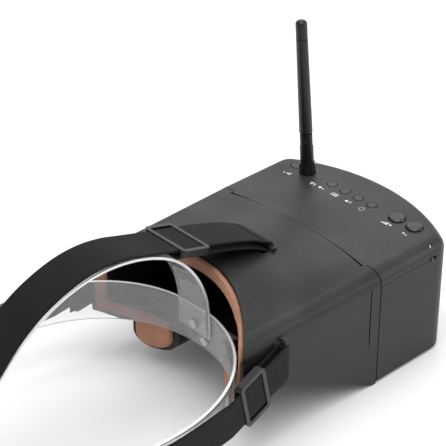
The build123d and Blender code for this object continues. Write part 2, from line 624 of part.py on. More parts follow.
def side_band(face):
    """A plan strip pulled up and trimmed to the strap's gently falling side view."""
    half = SIDE_WEB_WIDTH / 2
    knee = side_run_end[1]
    middle = [(20, SIDE_Z_SLOT), (SIDE_BAR[1], SIDE_Z_SLOT), (knee, SIDE_Z_BACK), (-BIG, SIDE_Z_BACK)]
    upper_edge = [(y, z + half) for y, z in middle]
    lower_edge = [(y, z - half) for y, z in reversed(middle)]
    profile = make_face(Polyline(*upper_edge, *lower_edge, upper_edge[0]))
    return upright(face, 0, 120) & sideways(profile, BIG)


outer_layer = ribbon_face(Line(SIDE_BAR, side_run_end), LAYER, WEB)
inner_layer = ribbon_face(Line(SIDE_BAR, turn(SIDE_BAR, side_heading, to_buckle + 12)), -LAYER, WEB)
side_fold = fold(SIDE_BAR, side_heading, LAYER, WEB)
right_strap = side_band(outer_layer) + side_band(inner_layer) + side_band(side_fold)
right_strap += side_band(ribbon_face(side_back, 0, WEB, 20))
save("right_strap", right_strap)
save("left_strap", mirrored(right_strap))

patch_in = FORM_CLEAR + WEB / 2 + 1.7
patch = upright(hoop_outline(patch_in + PATCH_THICKNESS) - hoop_outline(patch_in), 20, 100)
patch_plane = Plane((0, -150, PATCH_Z), x_dir=(1, 0, 0), z_dir=(0, -1, 0))
save("back_patch", patch & extrude(patch_plane * RectangleRounded(*PATCH_SIZE, 12), 200))

# ---- Buckles ----


def buckle(width, thickness_up):
    """A tri-glide lying flat: webbing runs along X, bars along Y, layers at plus and minus Z."""
    length = BUCKLE_WIDTH
    top, low = LAYER + WEB / 2 + 0.4, -0.75
    ring = extrude(RectangleRounded(length, width, 3.5), 4, both=True)
    ring -= extrude(RectangleRounded(length - 2 * BUCKLE_RAIL, width - 2 * BUCKLE_RAIL, 1.2), 5, both=True)
    rails = ring & block(-BIG, BIG, -BIG, BIG, low, top + thickness_up)
    end_bars_low = block(-BIG, BIG, -width / 2 + BUCKLE_RAIL, width / 2 - BUCKLE_RAIL, low - 1, top)
    body = rails - end_bars_low
    body += block(-1.6, 1.6, -width / 2 + 1, width / 2 - 1, low, 0.75)
    return body


top_place = Pos(0, *TOP_BUCKLE) * Rot(TOP_TILT * -1, 0, 0) * Rot(0, 0, 90)
save("top_buckle", top_place * buckle(TOP_BUCKLE_LENGTH, 1.8))
side_z_slope = (SIDE_Z_SLOT - SIDE_Z_BACK) / (SIDE_BAR[1] - side_run_end[1])
buckle_z = SIDE_Z_SLOT - side_z_slope * (SIDE_BAR[1] - SIDE_BUCKLE_Y)
at = turn(SIDE_BAR, side_heading, to_buckle)
# Local X runs back along the strap, local Z faces outwards
along, outward = (side_dir[0], side_dir[1], -side_z_slope), (-side_dir[1], side_dir[0], 0)
side_plane = Plane((at[0], at[1], buckle_z), x_dir=along, z_dir=outward)
right_buckle = side_plane.location * buckle(SIDE_BUCKLE_LENGTH, 1.8)
save("right_buckle", right_buckle)
save("left_buckle", mirrored(right_buckle))

# ---- Clear head form ----
hoop = upright(hoop_outline(FORM_THICKNESS / 2) - hoop_outline(-FORM_THICKNESS / 2), *HOOP_Z)
crown = sideways(ribbon_face(crown_path, 0, FORM_THICKNESS, 26), CROWN_WIDTH)
crown -= Pos(0, -180, RIVET_Z) * Rot(90, 0, 0) * Cylinder(RIVET_R + 0.05, 300)
hoop -= Pos(0, -180, RIVET_Z) * Rot(90, 0, 0) * Cylinder(RIVET_R + 0.05, 300)
hoop -= Pos(*STUD_PLACE) * Rot(90, 0, 0) * Cylinder(RIVET_R + 0.05, 20)
save("head_form_hoop", hoop)
save("head_form_crown", crown)


def rivet(x, z, y_in, y_out):
    """A plastic push rivet through the form, with a domed head inside and a flat one outside."""
    way = 1 if y_out > y_in else -1
    shank = block(-9, 9, min(y_in, y_out), max(y_in, y_out), -9, 9)
    shank &= Pos(0, (y_in + y_out) / 2, 0) * Rot(90, 0, 0) * Cylinder(RIVET_R, 60)
    dome = Pos(0, y_in - way * 0.65, 0) * Rot(90, 0, 0) * Cylinder(2 * RIVET_R, 1.3)
    dome = fillet(dome.edges().sort_by(Axis.Y)[0 if way > 0 else -1], 0.9)
    flat = Pos(0, y_out + way * 0.2, 0) * Rot(90, 0, 0) * Cylinder(1.6 * RIVET_R, 0.4)
    return Pos(x, 0, z) * (dome + shank + flat)


crown_face = CROWN_SETBACK + FORM_THICKNESS / 2 + 0.05
hoop_face = FORM_THICKNESS / 2 + 0.05
front_rivet = rivet(0, RIVET_Z, HOOP_FRONT_Y - crown_face, HOOP_FRONT_Y + hoop_face)
back_face = CROWN_BACK_SETBACK + FORM_THICKNESS / 2 + 0.7
back_rivet = rivet(0, RIVET_Z, HOOP_BACK_Y + back_face, HOOP_BACK_Y - hoop_face)
stud_y = STUD_PLACE[1]
stud = rivet(STUD_PLACE[0], STUD_PLACE[2], stud_y - hoop_face - 0.3, stud_y + hoop_face + 0.3)
save("head_form_rivets", front_rivet, back_rivet, stud)

# Case screws
screws = []
for sx in SCREW_XS:
    for sy in SCREW_YS:
        screws.append(rod(2.4, 0.4, 1.98, sx, sy) + rod(1.2, 1.9, 20, sx, sy))
for sx, sy in SHROUD_SCREWS:
    screws.append(rod(2.4, 0.2, 1.38, sx, sy) + rod(1.2, 1.3, 8.5, sx, sy))
save("case_screws", *screws)
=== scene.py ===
"""Finished looks of the video goggles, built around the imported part, in metres."""

import logging
import math
from collections.abc import Callable
from dataclasses import dataclass, field
from enum import Enum

import bmesh
import bpy
from mathutils import Matrix, Vector, noise


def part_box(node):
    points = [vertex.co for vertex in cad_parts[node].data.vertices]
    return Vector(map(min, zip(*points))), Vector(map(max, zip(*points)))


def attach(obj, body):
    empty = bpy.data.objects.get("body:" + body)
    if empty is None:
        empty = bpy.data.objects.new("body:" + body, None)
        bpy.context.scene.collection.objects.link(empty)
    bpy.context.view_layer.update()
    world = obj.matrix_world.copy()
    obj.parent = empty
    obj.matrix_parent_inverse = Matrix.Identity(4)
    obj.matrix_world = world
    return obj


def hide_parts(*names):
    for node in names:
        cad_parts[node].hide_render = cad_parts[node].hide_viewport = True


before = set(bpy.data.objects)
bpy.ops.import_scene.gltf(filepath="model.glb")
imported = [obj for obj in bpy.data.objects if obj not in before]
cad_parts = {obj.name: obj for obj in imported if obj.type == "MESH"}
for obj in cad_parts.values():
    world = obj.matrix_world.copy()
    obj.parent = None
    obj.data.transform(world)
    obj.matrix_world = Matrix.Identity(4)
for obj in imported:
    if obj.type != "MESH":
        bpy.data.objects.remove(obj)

MM = 0.001
SELVEDGE = 0.0016
SHELL = (0.020, 0.0195, 0.021)
# SHROUD_SHADED is a darker copy of the housing's black that paints the shade falling on the shroud.
SHROUD_SHADED = (0.0125, 0.012, 0.0125)
INDICATOR = (0.003, 0.002, 0.002)
TOP_Z = 86.0
LOG = logging.getLogger("goggles")
Colour = tuple[float, float, float]


# ---- Small tools ----


def grey(value: float) -> Colour:
    """A neutral colour."""
    return (value, value, value)


def scaled(colour: Colour, factor: float, lift: float = 0.0) -> Colour:
    """A lighter or darker version of a colour, kept within range."""
    return tuple(min(1.0, factor * c + lift) for c in colour)


class Graph:
    """Adds linked nodes to one shader node tree."""

    def __init__(self, tree: bpy.types.NodeTree) -> None:
        """Keeps the tree that the nodes go in."""
        self.tree = tree

    def add(self, kind: str, sockets: dict | None = None, **settings: object) -> bpy.types.Node:
        """Adds one node.

        Args:
            kind: The node's type, without its ShaderNode prefix.
            sockets: Input names or numbers with a value, or with the output that feeds them.
            settings: The node's own options.

        Returns:
            The new node.
        """
        node = self.tree.nodes.new("ShaderNode" + kind)
        for name, value in settings.items():
            setattr(node, name, value)
        for name, value in (sockets or {}).items():
            socket = node.inputs[name]
            if isinstance(value, bpy.types.NodeSocket):
                self.tree.links.new(value, socket)
            else:
                socket.default_value = value
        return node

    def math(self, operation: str, first: object, second: object = 0.0) -> bpy.types.NodeSocket:
        """The result of one Math node."""
        return self.add("Math", {0: first, 1: second}, operation=operation).outputs[0]

    def ramp(
        self, value: object, low: float, high: float, to_low: float = 0.0, to_high: float = 1.0
    ) -> bpy.types.NodeSocket:
        """A clamped change of range."""
        node = self.add("MapRange", {0: value, 1: low, 2: high, 3: to_low, 4: to_high})
        return node.outputs[0]

    def mix(self, share: object, first: object, second: object) -> bpy.types.NodeSocket:
        """A blend of two colours."""
        node = self.add("Mix", data_type="RGBA")
        for index, value in ((0, share), (6, first), (7, second)):
            if isinstance(value, bpy.types.NodeSocket):
                self.tree.links.new(value, node.inputs[index])
            elif index == 0:
                node.inputs[index].default_value = value
            else:
                node.inputs[index].default_value = (*value, 1.0)
        return node.outputs[2]

    def noise(self, scale: float, detail: float = 2.0, vector: object = None) -> bpy.types.NodeSocket:
        """Noise on the piece's own coordinates."""
        place = vector or self.add("TexCoord").outputs["Object"]
        return self.add("TexNoise", {"Vector": place, "Scale": scale, "Detail": detail}).outputs[0]


def new_group(name: str, inputs: dict[str, float], outputs: tuple[str, ...], vector: bool = False) -> tuple:
    """Starts a shader node group for an effect that several finishes share.

    Args:
        name: The group's name.
        inputs: Number inputs with their defaults.
        outputs: Names of the value outputs.
        vector: Whether the group also takes a Vector.

    Returns:
        The group, a Graph on it, its input node and its output node.
    """
    group = bpy.data.node_groups.new(name, "ShaderNodeTree")
    if vector:
        group.interface.new_socket("Vector", in_out="INPUT", socket_type="NodeSocketVector")
    for label, value in inputs.items():
        socket = group.interface.new_socket(label, in_out="INPUT", socket_type="NodeSocketFloat")
        socket.default_value = value
    for label in outputs:
        group.interface.new_socket(label, in_out="OUTPUT", socket_type="NodeSocketFloat")
    graph = Graph(group)
    return group, graph, group.nodes.new("NodeGroupInput"), group.nodes.new("NodeGroupOutput")


class Effect(Enum):
    """The shared effects."""

    GRAIN = "moulded_grain"
    WEAR = "edge_wear"
    DUST = "settled_dust"
    WEAVE = "webbing_weave"
    KNIT = "foam_knit"


def build_grain() -> bpy.types.NodeTree:
    """Fine spark-eroded grain with a slow mottle over it."""
    group, g, source, sink = new_group(Effect.GRAIN.value, {"Scale": 1500.0}, ("Height", "Mottle"))
    place = g.add("TexCoord").outputs["Object"]
    fine = g.add("TexNoise", {"Vector": place, "Scale": source.outputs["Scale"], "Detail": 3.0})
    slow = g.add("TexNoise", {"Vector": place, "Scale": 38.0, "Detail": 4.0, "Roughness": 0.6})
    group.links.new(fine.outputs[0], sink.inputs["Height"])
    group.links.new(g.ramp(slow.outputs[0], 0.3, 0.7), sink.inputs["Mottle"])
    return group


def build_wear() -> bpy.types.NodeTree:
    """A mask that picks out rubbed outer edges."""
    group, g, source, sink = new_group(Effect.WEAR.value, {"Width": 0.0007}, ("Mask",))
    soft = g.add("Bevel", {"Radius": source.outputs["Width"]}, samples=3)
    hard = g.add("NewGeometry")
    dot = g.add("VectorMath", {0: soft.outputs[0], 1: hard.outputs["Normal"]}, operation="DOT_PRODUCT")
    edge = g.ramp(dot.outputs["Value"], 0.985, 0.86)
    patches = g.ramp(g.noise(420.0, 4.0), 0.35, 0.75, 0.25, 1.0)
    group.links.new(g.math("MULTIPLY", edge, patches), sink.inputs["Mask"])
    return group


def build_dust() -> bpy.types.NodeTree:
    """A mask of fine specks and faint films, heavier on faces that look up."""
    group, g, source, sink = new_group(Effect.DUST.value, {"Amount": 0.5}, ("Mask",))
    specks = g.ramp(g.noise(900.0, 1.0), 0.70, 0.78)
    film = g.ramp(g.noise(24.0, 5.0), 0.45, 0.85, 0.0, 0.5)
    normal = g.add("SeparateXYZ", {0: g.add("NewGeometry").outputs["Normal"]})
    upward = g.ramp(normal.outputs["Z"], 0.0, 1.0, 0.25, 1.0)
    both = g.math("ADD", specks, film)
    mask = g.math("MULTIPLY", g.math("MULTIPLY", both, upward), source.outputs["Amount"])
    group.links.new(mask, sink.inputs["Mask"])
    return group


def build_weave() -> bpy.types.NodeTree:
    """Narrow-woven webbing: ribs across the band, yarns along it and a thicker selvedge."""
    sizes = {"Pitch": 0.0011, "Half Width": 0.0145}
    group, g, source, sink = new_group(Effect.WEAVE.value, sizes, ("Height", "Yarn"), vector=True)
    split = g.add("SeparateXYZ", {0: source.outputs["Vector"]})
    across, along = split.outputs["X"], split.outputs["Y"]
    turn = g.math("DIVIDE", math.tau, source.outputs["Pitch"])
    wave = g.math("SINE", g.math("MULTIPLY", across, turn))
    half_shift = g.math("MULTIPLY", g.math("SIGN", wave), math.pi / 2)
    ribs = g.math("SINE", g.math("ADD", g.math("MULTIPLY", along, turn), half_shift))
    yarns = g.math("ABSOLUTE", wave)
    body = g.math("MULTIPLY", g.math("ADD", ribs, 1.0), g.math("ADD", yarns, 0.3))
    rim = g.math("ABSOLUTE", across)
    half_width = source.outputs["Half Width"]
    selvedge = g.ramp(rim, g.math("SUBTRACT", half_width, SELVEDGE), half_width)
    height = g.math("ADD", g.math("MULTIPLY", body, 0.5), g.math("MULTIPLY", selvedge, 0.6))
    group.links.new(height, sink.inputs["Height"])
    # Yarn follows the weave's relief; the webbing darkens its colour in the low places with it, as painted
    # shade between the yarns.
    group.links.new(g.ramp(body, 0.2, 1.8), sink.inputs["Yarn"])
    return group


def build_knit() -> bpy.types.NodeTree:
    """Brushed cloth laminated on foam: small cells, nap and slow unevenness."""
    group, g, source, sink = new_group(Effect.KNIT.value, {"Scale": 1500.0}, ("Height", "Shade"))
    place = g.add("TexCoord").outputs["Object"]
    cells = g.add("TexVoronoi", {"Vector": place, "Scale": source.outputs["Scale"]})
    nap = g.noise(2600.0, 3.0)
    slow = g.noise(70.0, 4.0)
    height = g.math("ADD", cells.outputs["Distance"], g.math("MULTIPLY", nap, 0.8))
    shade = g.math("ADD", g.math("MULTIPLY", slow, 0.7), g.math("MULTIPLY", nap, 0.3))
    group.links.new(height, sink.inputs["Height"])
    group.links.new(g.ramp(shade, 0.3, 0.7), sink.inputs["Shade"])
    return group


GROUP_MAKERS = {
    Effect.GRAIN: build_grain,
    Effect.WEAR: build_wear,
    Effect.DUST: build_dust,
    Effect.WEAVE: build_weave,
    Effect.KNIT: build_knit,
}


def effect(graph: Graph, kind: Effect, sockets: dict | None = None) -> bpy.types.Node:
    """Places a shared effect in a material, building its group the first time."""
    group = bpy.data.node_groups.get(kind.value) or GROUP_MAKERS[kind]()
    node = graph.tree.nodes.new("ShaderNodeGroup")
    node.node_tree = group
    for name, value in (sockets or {}).items():
        if isinstance(value, bpy.types.NodeSocket):
            graph.tree.links.new(value, node.inputs[name])
        else:
            node.inputs[name].default_value = value
    return node


# ---- Finishes ----


class Paint:
    """One Principled material while it is being put together."""

    def __init__(self, name: str, constants: dict[str, object]) -> None:
        """Starts the material and sets the sockets that hold one value all over."""
        self.material = bpy.data.materials.new(name)
        self.material.use_nodes = True
        self.graph = Graph(self.material.node_tree)
        self.shader = self.material.node_tree.nodes["Principled BSDF"]
        for label, value in constants.items():
            self.shader.inputs[label].default_value = value

    def feed(self, label: str, value: object) -> None:
        """Links an output to one of the shader's sockets."""
        self.graph.tree.links.new(value, self.shader.inputs[label])

    def bump(self, height: object, depth: float, strength: float = 1.0) -> None:
        """Turns a height into the shader's normal."""
        sockets = {"Height": height, "Distance": depth, "Strength": strength}
        self.feed("Normal", self.graph.add("Bump", sockets).outputs[0])

    def distance(self, centre: Vector, axes: str) -> bpy.types.NodeSocket:
        """How far a point lies from a centre, measured along two axes."""
        g = self.graph
        flat = g.add("Mapping", {0: g.add("TexCoord").outputs["Object"], 1: -centre})
        split = g.add("SeparateXYZ", {0: flat.outputs[0]})
        first, second = (g.math("POWER", split.outputs[axis], 2.0) for axis in axes)
        return g.math("SQRT", g.math("ADD", first, second))


@dataclass(frozen=True)
class Moulded:
    """Injection-moulded plastic or rubber, from matt to glossy."""

    name: str
    colour: Colour
    rough: float = 0.45
    grain: float = 1500.0
    depth: float = 0.00002
    wear: float = 0.35
    dust: float = 0.12
    coat: float = 0.0
    specular: float = 0.5

    def build(self) -> bpy.types.Material:
        """Returns the finished material."""
        constants = {"Coat Weight": self.coat, "Coat Roughness": 0.12, "Specular IOR Level": self.specular}
        paint = Paint(self.name, constants)
        g = paint.graph
        grain = effect(g, Effect.GRAIN, {"Scale": self.grain})
        wear = effect(g, Effect.WEAR)
        dust = effect(g, Effect.DUST, {"Amount": self.dust})
        deep = scaled(self.colour, 0.82)
        light = scaled(self.colour, 2.6, 0.03)
        tone = g.mix(grain.outputs["Mottle"], deep, self.colour)
        tone = g.mix(g.math("MULTIPLY", wear.outputs["Mask"], self.wear), tone, light)
        tone = g.mix(dust.outputs["Mask"], tone, (0.42, 0.41, 0.39))
        paint.feed("Base Color", tone)
        rough = g.ramp(grain.outputs["Mottle"], 0.0, 1.0, self.rough - 0.04, self.rough + 0.05)
        rough = g.math("SUBTRACT", rough, g.math("MULTIPLY", wear.outputs["Mask"], 0.12))
        paint.feed("Roughness", rough)
        paint.bump(grain.outputs["Height"], self.depth)
        return paint.material


@dataclass(frozen=True)
class Webbing:
    """Woven elastic webbing, read from a band's own metric UV map."""

    name: str
    colour: Colour
    pitch: float = 0.0012
    half_width: float = 0.0145

    def build(self) -> bpy.types.Material:
        """Returns the finished material."""
        paint = Paint(self.name, {"Sheen Weight": 0.05, "Sheen Roughness": 0.5, "Specular IOR Level": 0.18})
        g = paint.graph
        uv = g.add("UVMap", uv_map="band").outputs[0]
        sizes = {"Vector": uv, "Pitch": self.pitch, "Half Width": self.half_width}
        weave = effect(g, Effect.WEAVE, sizes)
        slow = g.ramp(g.noise(60.0, 4.0), 0.3, 0.7)
        lint = g.ramp(g.noise(1300.0, 2.0), 0.70, 0.78, 0.0, 0.25)
        # deep fills the low places of the weave: painted shade between the yarns.
        deep = scaled(self.colour, 0.45)
        tone = g.mix(weave.outputs["Yarn"], deep, self.colour)
        tone = g.mix(g.math("MULTIPLY", slow, 0.35), tone, scaled(self.colour, 1.5))
        tone = g.mix(lint, tone, (0.16, 0.16, 0.165))
        paint.feed("Base Color", tone)
        paint.feed("Roughness", g.ramp(weave.outputs["Yarn"], 0.0, 1.0, 0.92, 0.68))
        paint.bump(weave.outputs["Height"], 0.00013, 0.8)
        return paint.material


@dataclass(frozen=True)
class FoamCloth:
    """Copper-coloured cloth over soft foam."""

    name: str
    colour: Colour

    def build(self) -> bpy.types.Material:
        """Returns the finished material."""
        paint = Paint(self.name, {"Sheen Weight": 0.35, "Sheen Roughness": 0.45, "Specular IOR Level": 0.2})
        paint.shader.inputs["Sheen Tint"].default_value = (1.0, 0.72, 0.55, 1.0)
        g = paint.graph
        knit = effect(g, Effect.KNIT)
        deep = (0.66 * self.colour[0], 0.58 * self.colour[1], 0.52 * self.colour[2])
        tone = g.mix(knit.outputs["Shade"], deep, self.colour)
        # The raised knit is mixed lighter than the rest: a painted highlight on the relief.
        nap = g.ramp(knit.outputs["Height"], 0.2, 1.2, 0.0, 0.25)
        tone = g.mix(nap, tone, scaled(self.colour, 1.25))
        paint.feed("Base Color", tone)
        paint.feed("Roughness", g.ramp(knit.outputs["Shade"], 0.0, 1.0, 0.9, 0.75))
        paint.bump(knit.outputs["Height"], 0.00009, 0.8)
        return paint.material


@dataclass(frozen=True)
class PatchCloth:
    """Smooth synthetic leather of the back pad."""

    name: str
    colour: Colour

    def build(self) -> bpy.types.Material:
        """Returns the finished material."""
        paint = Paint(self.name, {"Specular IOR Level": 0.4, "Sheen Weight": 0.05})
        g = paint.graph
        place = g.add("TexCoord").outputs["Object"]
        pebble = g.add("TexVoronoi", {"Vector": place, "Scale": 900.0}, feature="SMOOTH_F1")
        crease = g.noise(160.0, 6.0)
        # The colour darkens where the crease noise sinks the surface: painted shade in the creases.
        tone = g.mix(g.ramp(crease, 0.35, 0.7), scaled(self.colour, 0.7), self.colour)
        paint.feed("Base Color", tone)
        paint.feed("Roughness", g.ramp(crease, 0.3, 0.7, 0.42, 0.6))
        paint.bump(g.math("ADD", pebble.outputs["Distance"], crease), 0.00012, 0.6)
        return paint.material


@dataclass(frozen=True)
class Clear:
    """Clear or milky plastic of the display form, and the nearly opaque white that paints a highlight on its
    strips' edges.
    """

    name: str
    colour: Colour
    transmission: float = 1.0
    rough: float = 0.03
    scratches: float = 0.00001

    def build(self) -> bpy.types.Material:
        """Returns the finished material."""
        constants = {"Transmission Weight": self.transmission, "IOR": 1.49, "Metallic": 0.0}
        paint = Paint(self.name, constants)
        g = paint.graph
        haze = g.ramp(g.noise(30.0, 4.0), 0.4, 0.8)
        scuffs = g.ramp(g.noise(700.0, 6.0), 0.55, 0.8)
        paint.feed("Base Color", g.mix(haze, self.colour, scaled(self.colour, 0.985)))
        film = g.math("MULTIPLY", g.math("ADD", haze, scuffs), 0.06)
        paint.feed("Roughness", g.math("ADD", film, self.rough))
        paint.bump(g.noise(240.0, 2.0), self.scratches, 0.4)
        return paint.material


@dataclass(frozen=True)
class Metal:
    """Plated or brushed metal."""

    name: str
    colour: Colour
    rough: float = 0.28

    def build(self) -> bpy.types.Material:
        """Returns the finished material."""
        paint = Paint(self.name, {"Metallic": 1.0})
        g = paint.graph
        grain = effect(g, Effect.GRAIN, {"Scale": 2400.0})
        wear = effect(g, Effect.WEAR, {"Width": 0.0003})
        dull = scaled(self.colour, 0.7)
        tone = g.mix(grain.outputs["Mottle"], dull, self.colour)
        paint.feed("Base Color", g.mix(wear.outputs["Mask"], tone, scaled(self.colour, 1.2)))
        paint.feed("Roughness", g.ramp(grain.outputs["Mottle"], 0.0, 1.0, self.rough, self.rough + 0.12))
        paint.bump(grain.outputs["Height"], 0.000008)
        return paint.material


@dataclass(frozen=True)
class Lens:
    """Clear plastic with fine concentric prism rings."""

    name: str
    centre: Vector
    pitch: float = 0.0009

    def build(self) -> bpy.types.Material:
        """Returns the finished material."""
        paint = Paint(self.name, {"Transmission Weight": 1.0, "IOR": 1.49, "Metallic": 0.0})
        g = paint.graph
        radius = paint.distance(self.centre, "XZ")
        steps = g.math("FRACT", g.math("DIVIDE", radius, self.pitch))
        paint.feed("Roughness", g.ramp(g.noise(200.0, 3.0), 0.3, 0.8, 0.04, 0.12))
        paint.shader.inputs["Base Color"].default_value = (0.96, 0.97, 0.98, 1.0)
        paint.bump(steps, 0.00025, 0.7)
        return paint.material


@dataclass(frozen=True)
class Board:
    """Printed circuit board or printed wrap, with tracks and small markings of no meaning."""

    name: str
    colour: Colour
    marks: Colour
    scale: float = 260.0
    rough: float = 0.35

    def build(self) -> bpy.types.Material:
        """Returns the finished material."""
        paint = Paint(self.name, {"Coat Weight": 0.3, "Coat Roughness": 0.2})
        g = paint.graph
        place = g.add("TexCoord").outputs["Object"]
        sockets = {"Vector": place, "Scale": self.scale}
        cells = g.add("TexVoronoi", sockets, distance="MANHATTAN", feature="F1")
        tracks = g.ramp(g.math("SINE", g.math("MULTIPLY", cells.outputs["Distance"], 30.0)), 0.80, 0.95)
        paint.feed("Base Color", g.mix(tracks, self.colour, self.marks))
        paint.feed("Roughness", g.ramp(tracks, 0.0, 1.0, self.rough, self.rough * 0.6))
        paint.bump(tracks, 0.00004)
        return paint.material


@dataclass(frozen=True)
class Screen:
    """Dark display glass with a faint picture-element grid."""

    name: str
    pitch: float = 0.0006

    def build(self) -> bpy.types.Material:
        """Returns the finished material."""
        paint = Paint(self.name, {"Coat Weight": 1.0, "Coat Roughness": 0.03})
        g = paint.graph
        place = g.add("TexCoord").outputs["Object"]
        split = g.add("SeparateXYZ", {0: place})
        turn = math.tau / self.pitch
        rows = g.math("SINE", g.math("MULTIPLY", split.outputs["Z"], turn))
        columns = g.math("SINE", g.math("MULTIPLY", split.outputs["X"], turn))
        grid = g.ramp(g.math("MAXIMUM", rows, columns), 0.6, 1.0)
        paint.feed("Base Color", g.mix(grid, (0.012, 0.013, 0.017), (0.02, 0.021, 0.026)))
        paint.feed("Roughness", g.ramp(g.noise(50.0, 3.0), 0.3, 0.7, 0.08, 0.2))
        return paint.material


@dataclass(frozen=True)
class DishedCap:
    """A large button: satin middle inside a glossy raised ring."""

    name: str
    centre: Vector
    colour: Colour
    inner: float
    outer: float

    def build(self) -> bpy.types.Material:
        """Returns the finished material."""
        paint = Paint(self.name, {"Coat Roughness": 0.06})
        g = paint.graph
        radius = paint.distance(self.centre, "XY")
        ring = g.ramp(radius, self.inner, self.outer)
        grain = effect(g, Effect.GRAIN, {"Scale": 1800.0})
        tone = g.mix(grain.outputs["Mottle"], scaled(self.colour, 0.8), self.colour)
        paint.feed("Base Color", g.mix(g.math("MULTIPLY", ring, 0.5), tone, (0.006, 0.006, 0.007)))
        paint.feed("Roughness", g.ramp(ring, 0.0, 1.0, 0.36, 0.2))
        paint.feed("Coat Weight", g.math("MULTIPLY", ring, 0.35))
        paint.bump(grain.outputs["Height"], 0.000015)
        return paint.material


@dataclass(frozen=True)
class Ink:
    """White pad-printed ink."""

    name: str
    colour: Colour

    def build(self) -> bpy.types.Material:
        """Returns the finished material."""
        paint = Paint(self.name, {"Specular IOR Level": 0.3})
        g = paint.graph
        worn = g.ramp(g.noise(2200.0, 3.0), 0.35, 0.6)
        paint.feed("Base Color", g.mix(worn, scaled(self.colour, 0.85), self.colour))
        paint.feed("Roughness", g.ramp(worn, 0.0, 1.0, 0.7, 0.5))
        return paint.material


# ---- Lines and bands ----


def catmull(points: list[Vector], steps: int = 12) -> list[Vector]:
    """A smooth line through points, as a denser list of points.

    Args:
        points: The points that the line passes through.
        steps: New points for each span.

    Returns:
        The points along the line, both ends included.
    """
    ghosts = [2 * points[0] - points[1], *points, 2 * points[-1] - points[-2]]
    line = []
    for a, b, c, d in zip(ghosts, ghosts[1:], ghosts[2:], ghosts[3:]):
        knot_1 = math.sqrt((b - a).length)
        knot_2 = knot_1 + math.sqrt((c - b).length)
        knot_3 = knot_2 + math.sqrt((d - c).length)
        for i in range(steps):
            t = knot_1 + (knot_2 - knot_1) * i / steps
            inner = (t - knot_1) / (knot_2 - knot_1)
            left, right = a.lerp(b, t / knot_1), c.lerp(d, (t - knot_2) / (knot_3 - knot_2))
            middle = b.lerp(c, inner)
            before = left.lerp(middle, t / knot_2)
            after = middle.lerp(right, (t - knot_1) / (knot_3 - knot_1))
            line.append(before.lerp(after, inner))
    return line + [points[-1].copy()]


def evenly(line: list[Vector], step: float) -> list[Vector]:
    """The same line with its points spaced evenly, as near to a step as fits."""
    runs = [(b - a).length for a, b in zip(line, line[1:])]
    total = sum(runs)
    count = max(2, round(total / step))
    spaced, index, passed = [], 0, 0.0
    for i in range(count + 1):
        want = total * i / count
        while index < len(runs) - 1 and passed + runs[index] < want:
            passed += runs[index]
            index += 1
        share = (want - passed) / runs[index] if runs[index] else 0.0
        spaced.append(line[index].lerp(line[index + 1], min(max(share, 0.0), 1.0)))
    return spaced


def sideways(line: list[Vector], distance: float) -> list[Vector]:
    """A flat line moved to the right of the way that it runs."""
    moved = []
    for i, point in enumerate(line):
        ahead = (line[min(i + 1, len(line) - 1)] - line[max(i - 1, 0)]).normalized()
        moved.append(point + distance * Vector((ahead.y, -ahead.x)))
    return moved


def towards(degrees: float) -> Vector:
    """The unit vector of a heading."""
    return Vector((math.cos(math.radians(degrees)), math.sin(math.radians(degrees))))


def half_turn(centre: Vector, start: Vector, way: int, steps: int = 9) -> list[Vector]:
    """Points half way round a centre, from a start point, without the two ends."""
    points = []
    for i in range(1, steps):
        angle = way * math.pi * i / steps
        points.append(centre + Matrix.Rotation(angle, 2) @ (start - centre))
    return points


@dataclass
class Band:
    """A flat band that follows a line: webbing, or a strip of clear plastic."""

    name: str
    body: str
    width: float
    thickness: float
    step: float = 2.0
    columns: int = 8
    rounding: float = 0.3

    def lay(self, line: list[Vector], across: Vector, closed: bool = False) -> bpy.types.Object:
        """Makes the band's mesh.

        Args:
            line: The middle line in millimetres.
            across: The direction of the band's width.
            closed: Whether the line's end meets its start.

        Returns:
            The band's object, with its thickness as a modifier.
        """
        line = evenly(line, self.step)
        lengths = [0.0]
        for a, b in zip(line, line[1:]):
            lengths.append(lengths[-1] + (b - a).length)
        rows = len(line) - 1
        bm = bmesh.new()
        uv = bm.loops.layers.uv.new("band")
        bmesh.ops.create_grid(bm, x_segments=self.columns, y_segments=rows, size=0.5)
        spots = {v: (v.co.x, min(rows, max(0, round((v.co.y + 0.5) * rows)))) for v in bm.verts}
        for face in bm.faces:
            for loop in face.loops:
                u, row = spots[loop.vert]
                loop[uv].uv = (u * self.width * MM, lengths[row] * MM)
        for vert, (u, row) in spots.items():
            vert.co = (line[row] + across * (u * self.width)) * MM
        if closed:
            bmesh.ops.remove_doubles(bm, verts=bm.verts, dist=1e-6)
        piece = finish_mesh(self.name, bm, self.body)
        solid = piece.modifiers.new("thickness", "SOLIDIFY")
        solid.thickness = self.thickness * MM
        solid.offset = 0.0
        solid.use_even_offset = True
        soft = piece.modifiers.new("soft edge", "BEVEL")
        soft.width = self.rounding * MM
        soft.segments = 2
        soft.limit_method = "ANGLE"
        soft.angle_limit = math.radians(50)
        return piece


def finish_mesh(name: str, bm: bmesh.types.BMesh, body: str) -> bpy.types.Object:
    """Turns a bmesh into a smooth-shaded object that rides on a body."""
    mesh = bpy.data.meshes.new(name)
    bm.to_mesh(mesh)
    bm.free()
    for face in mesh.polygons:
        face.use_smooth = True
    piece = bpy.data.objects.new(name, mesh)
    bpy.context.scene.collection.objects.link(piece)
    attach(piece, body)
    LOG.info("piece %s, %d faces, on %s", name, len(mesh.polygons), body)
    return piece


def dress(piece: bpy.types.Object, slot: str, *materials: bpy.types.Material) -> bpy.types.Object:
    """Gives a piece its materials."""
    piece.data.materials.clear()
    for material in materials:
        piece.data.materials.append(material)
    return piece


def node_copy(node: str) -> bmesh.types.BMesh:
    """A welded bmesh copy of a CAD node's mesh."""
    bm = bmesh.new()
    bm.from_mesh(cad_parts[node].data)
    bmesh.ops.remove_doubles(bm, verts=bm.verts, dist=1e-6)
    return bm


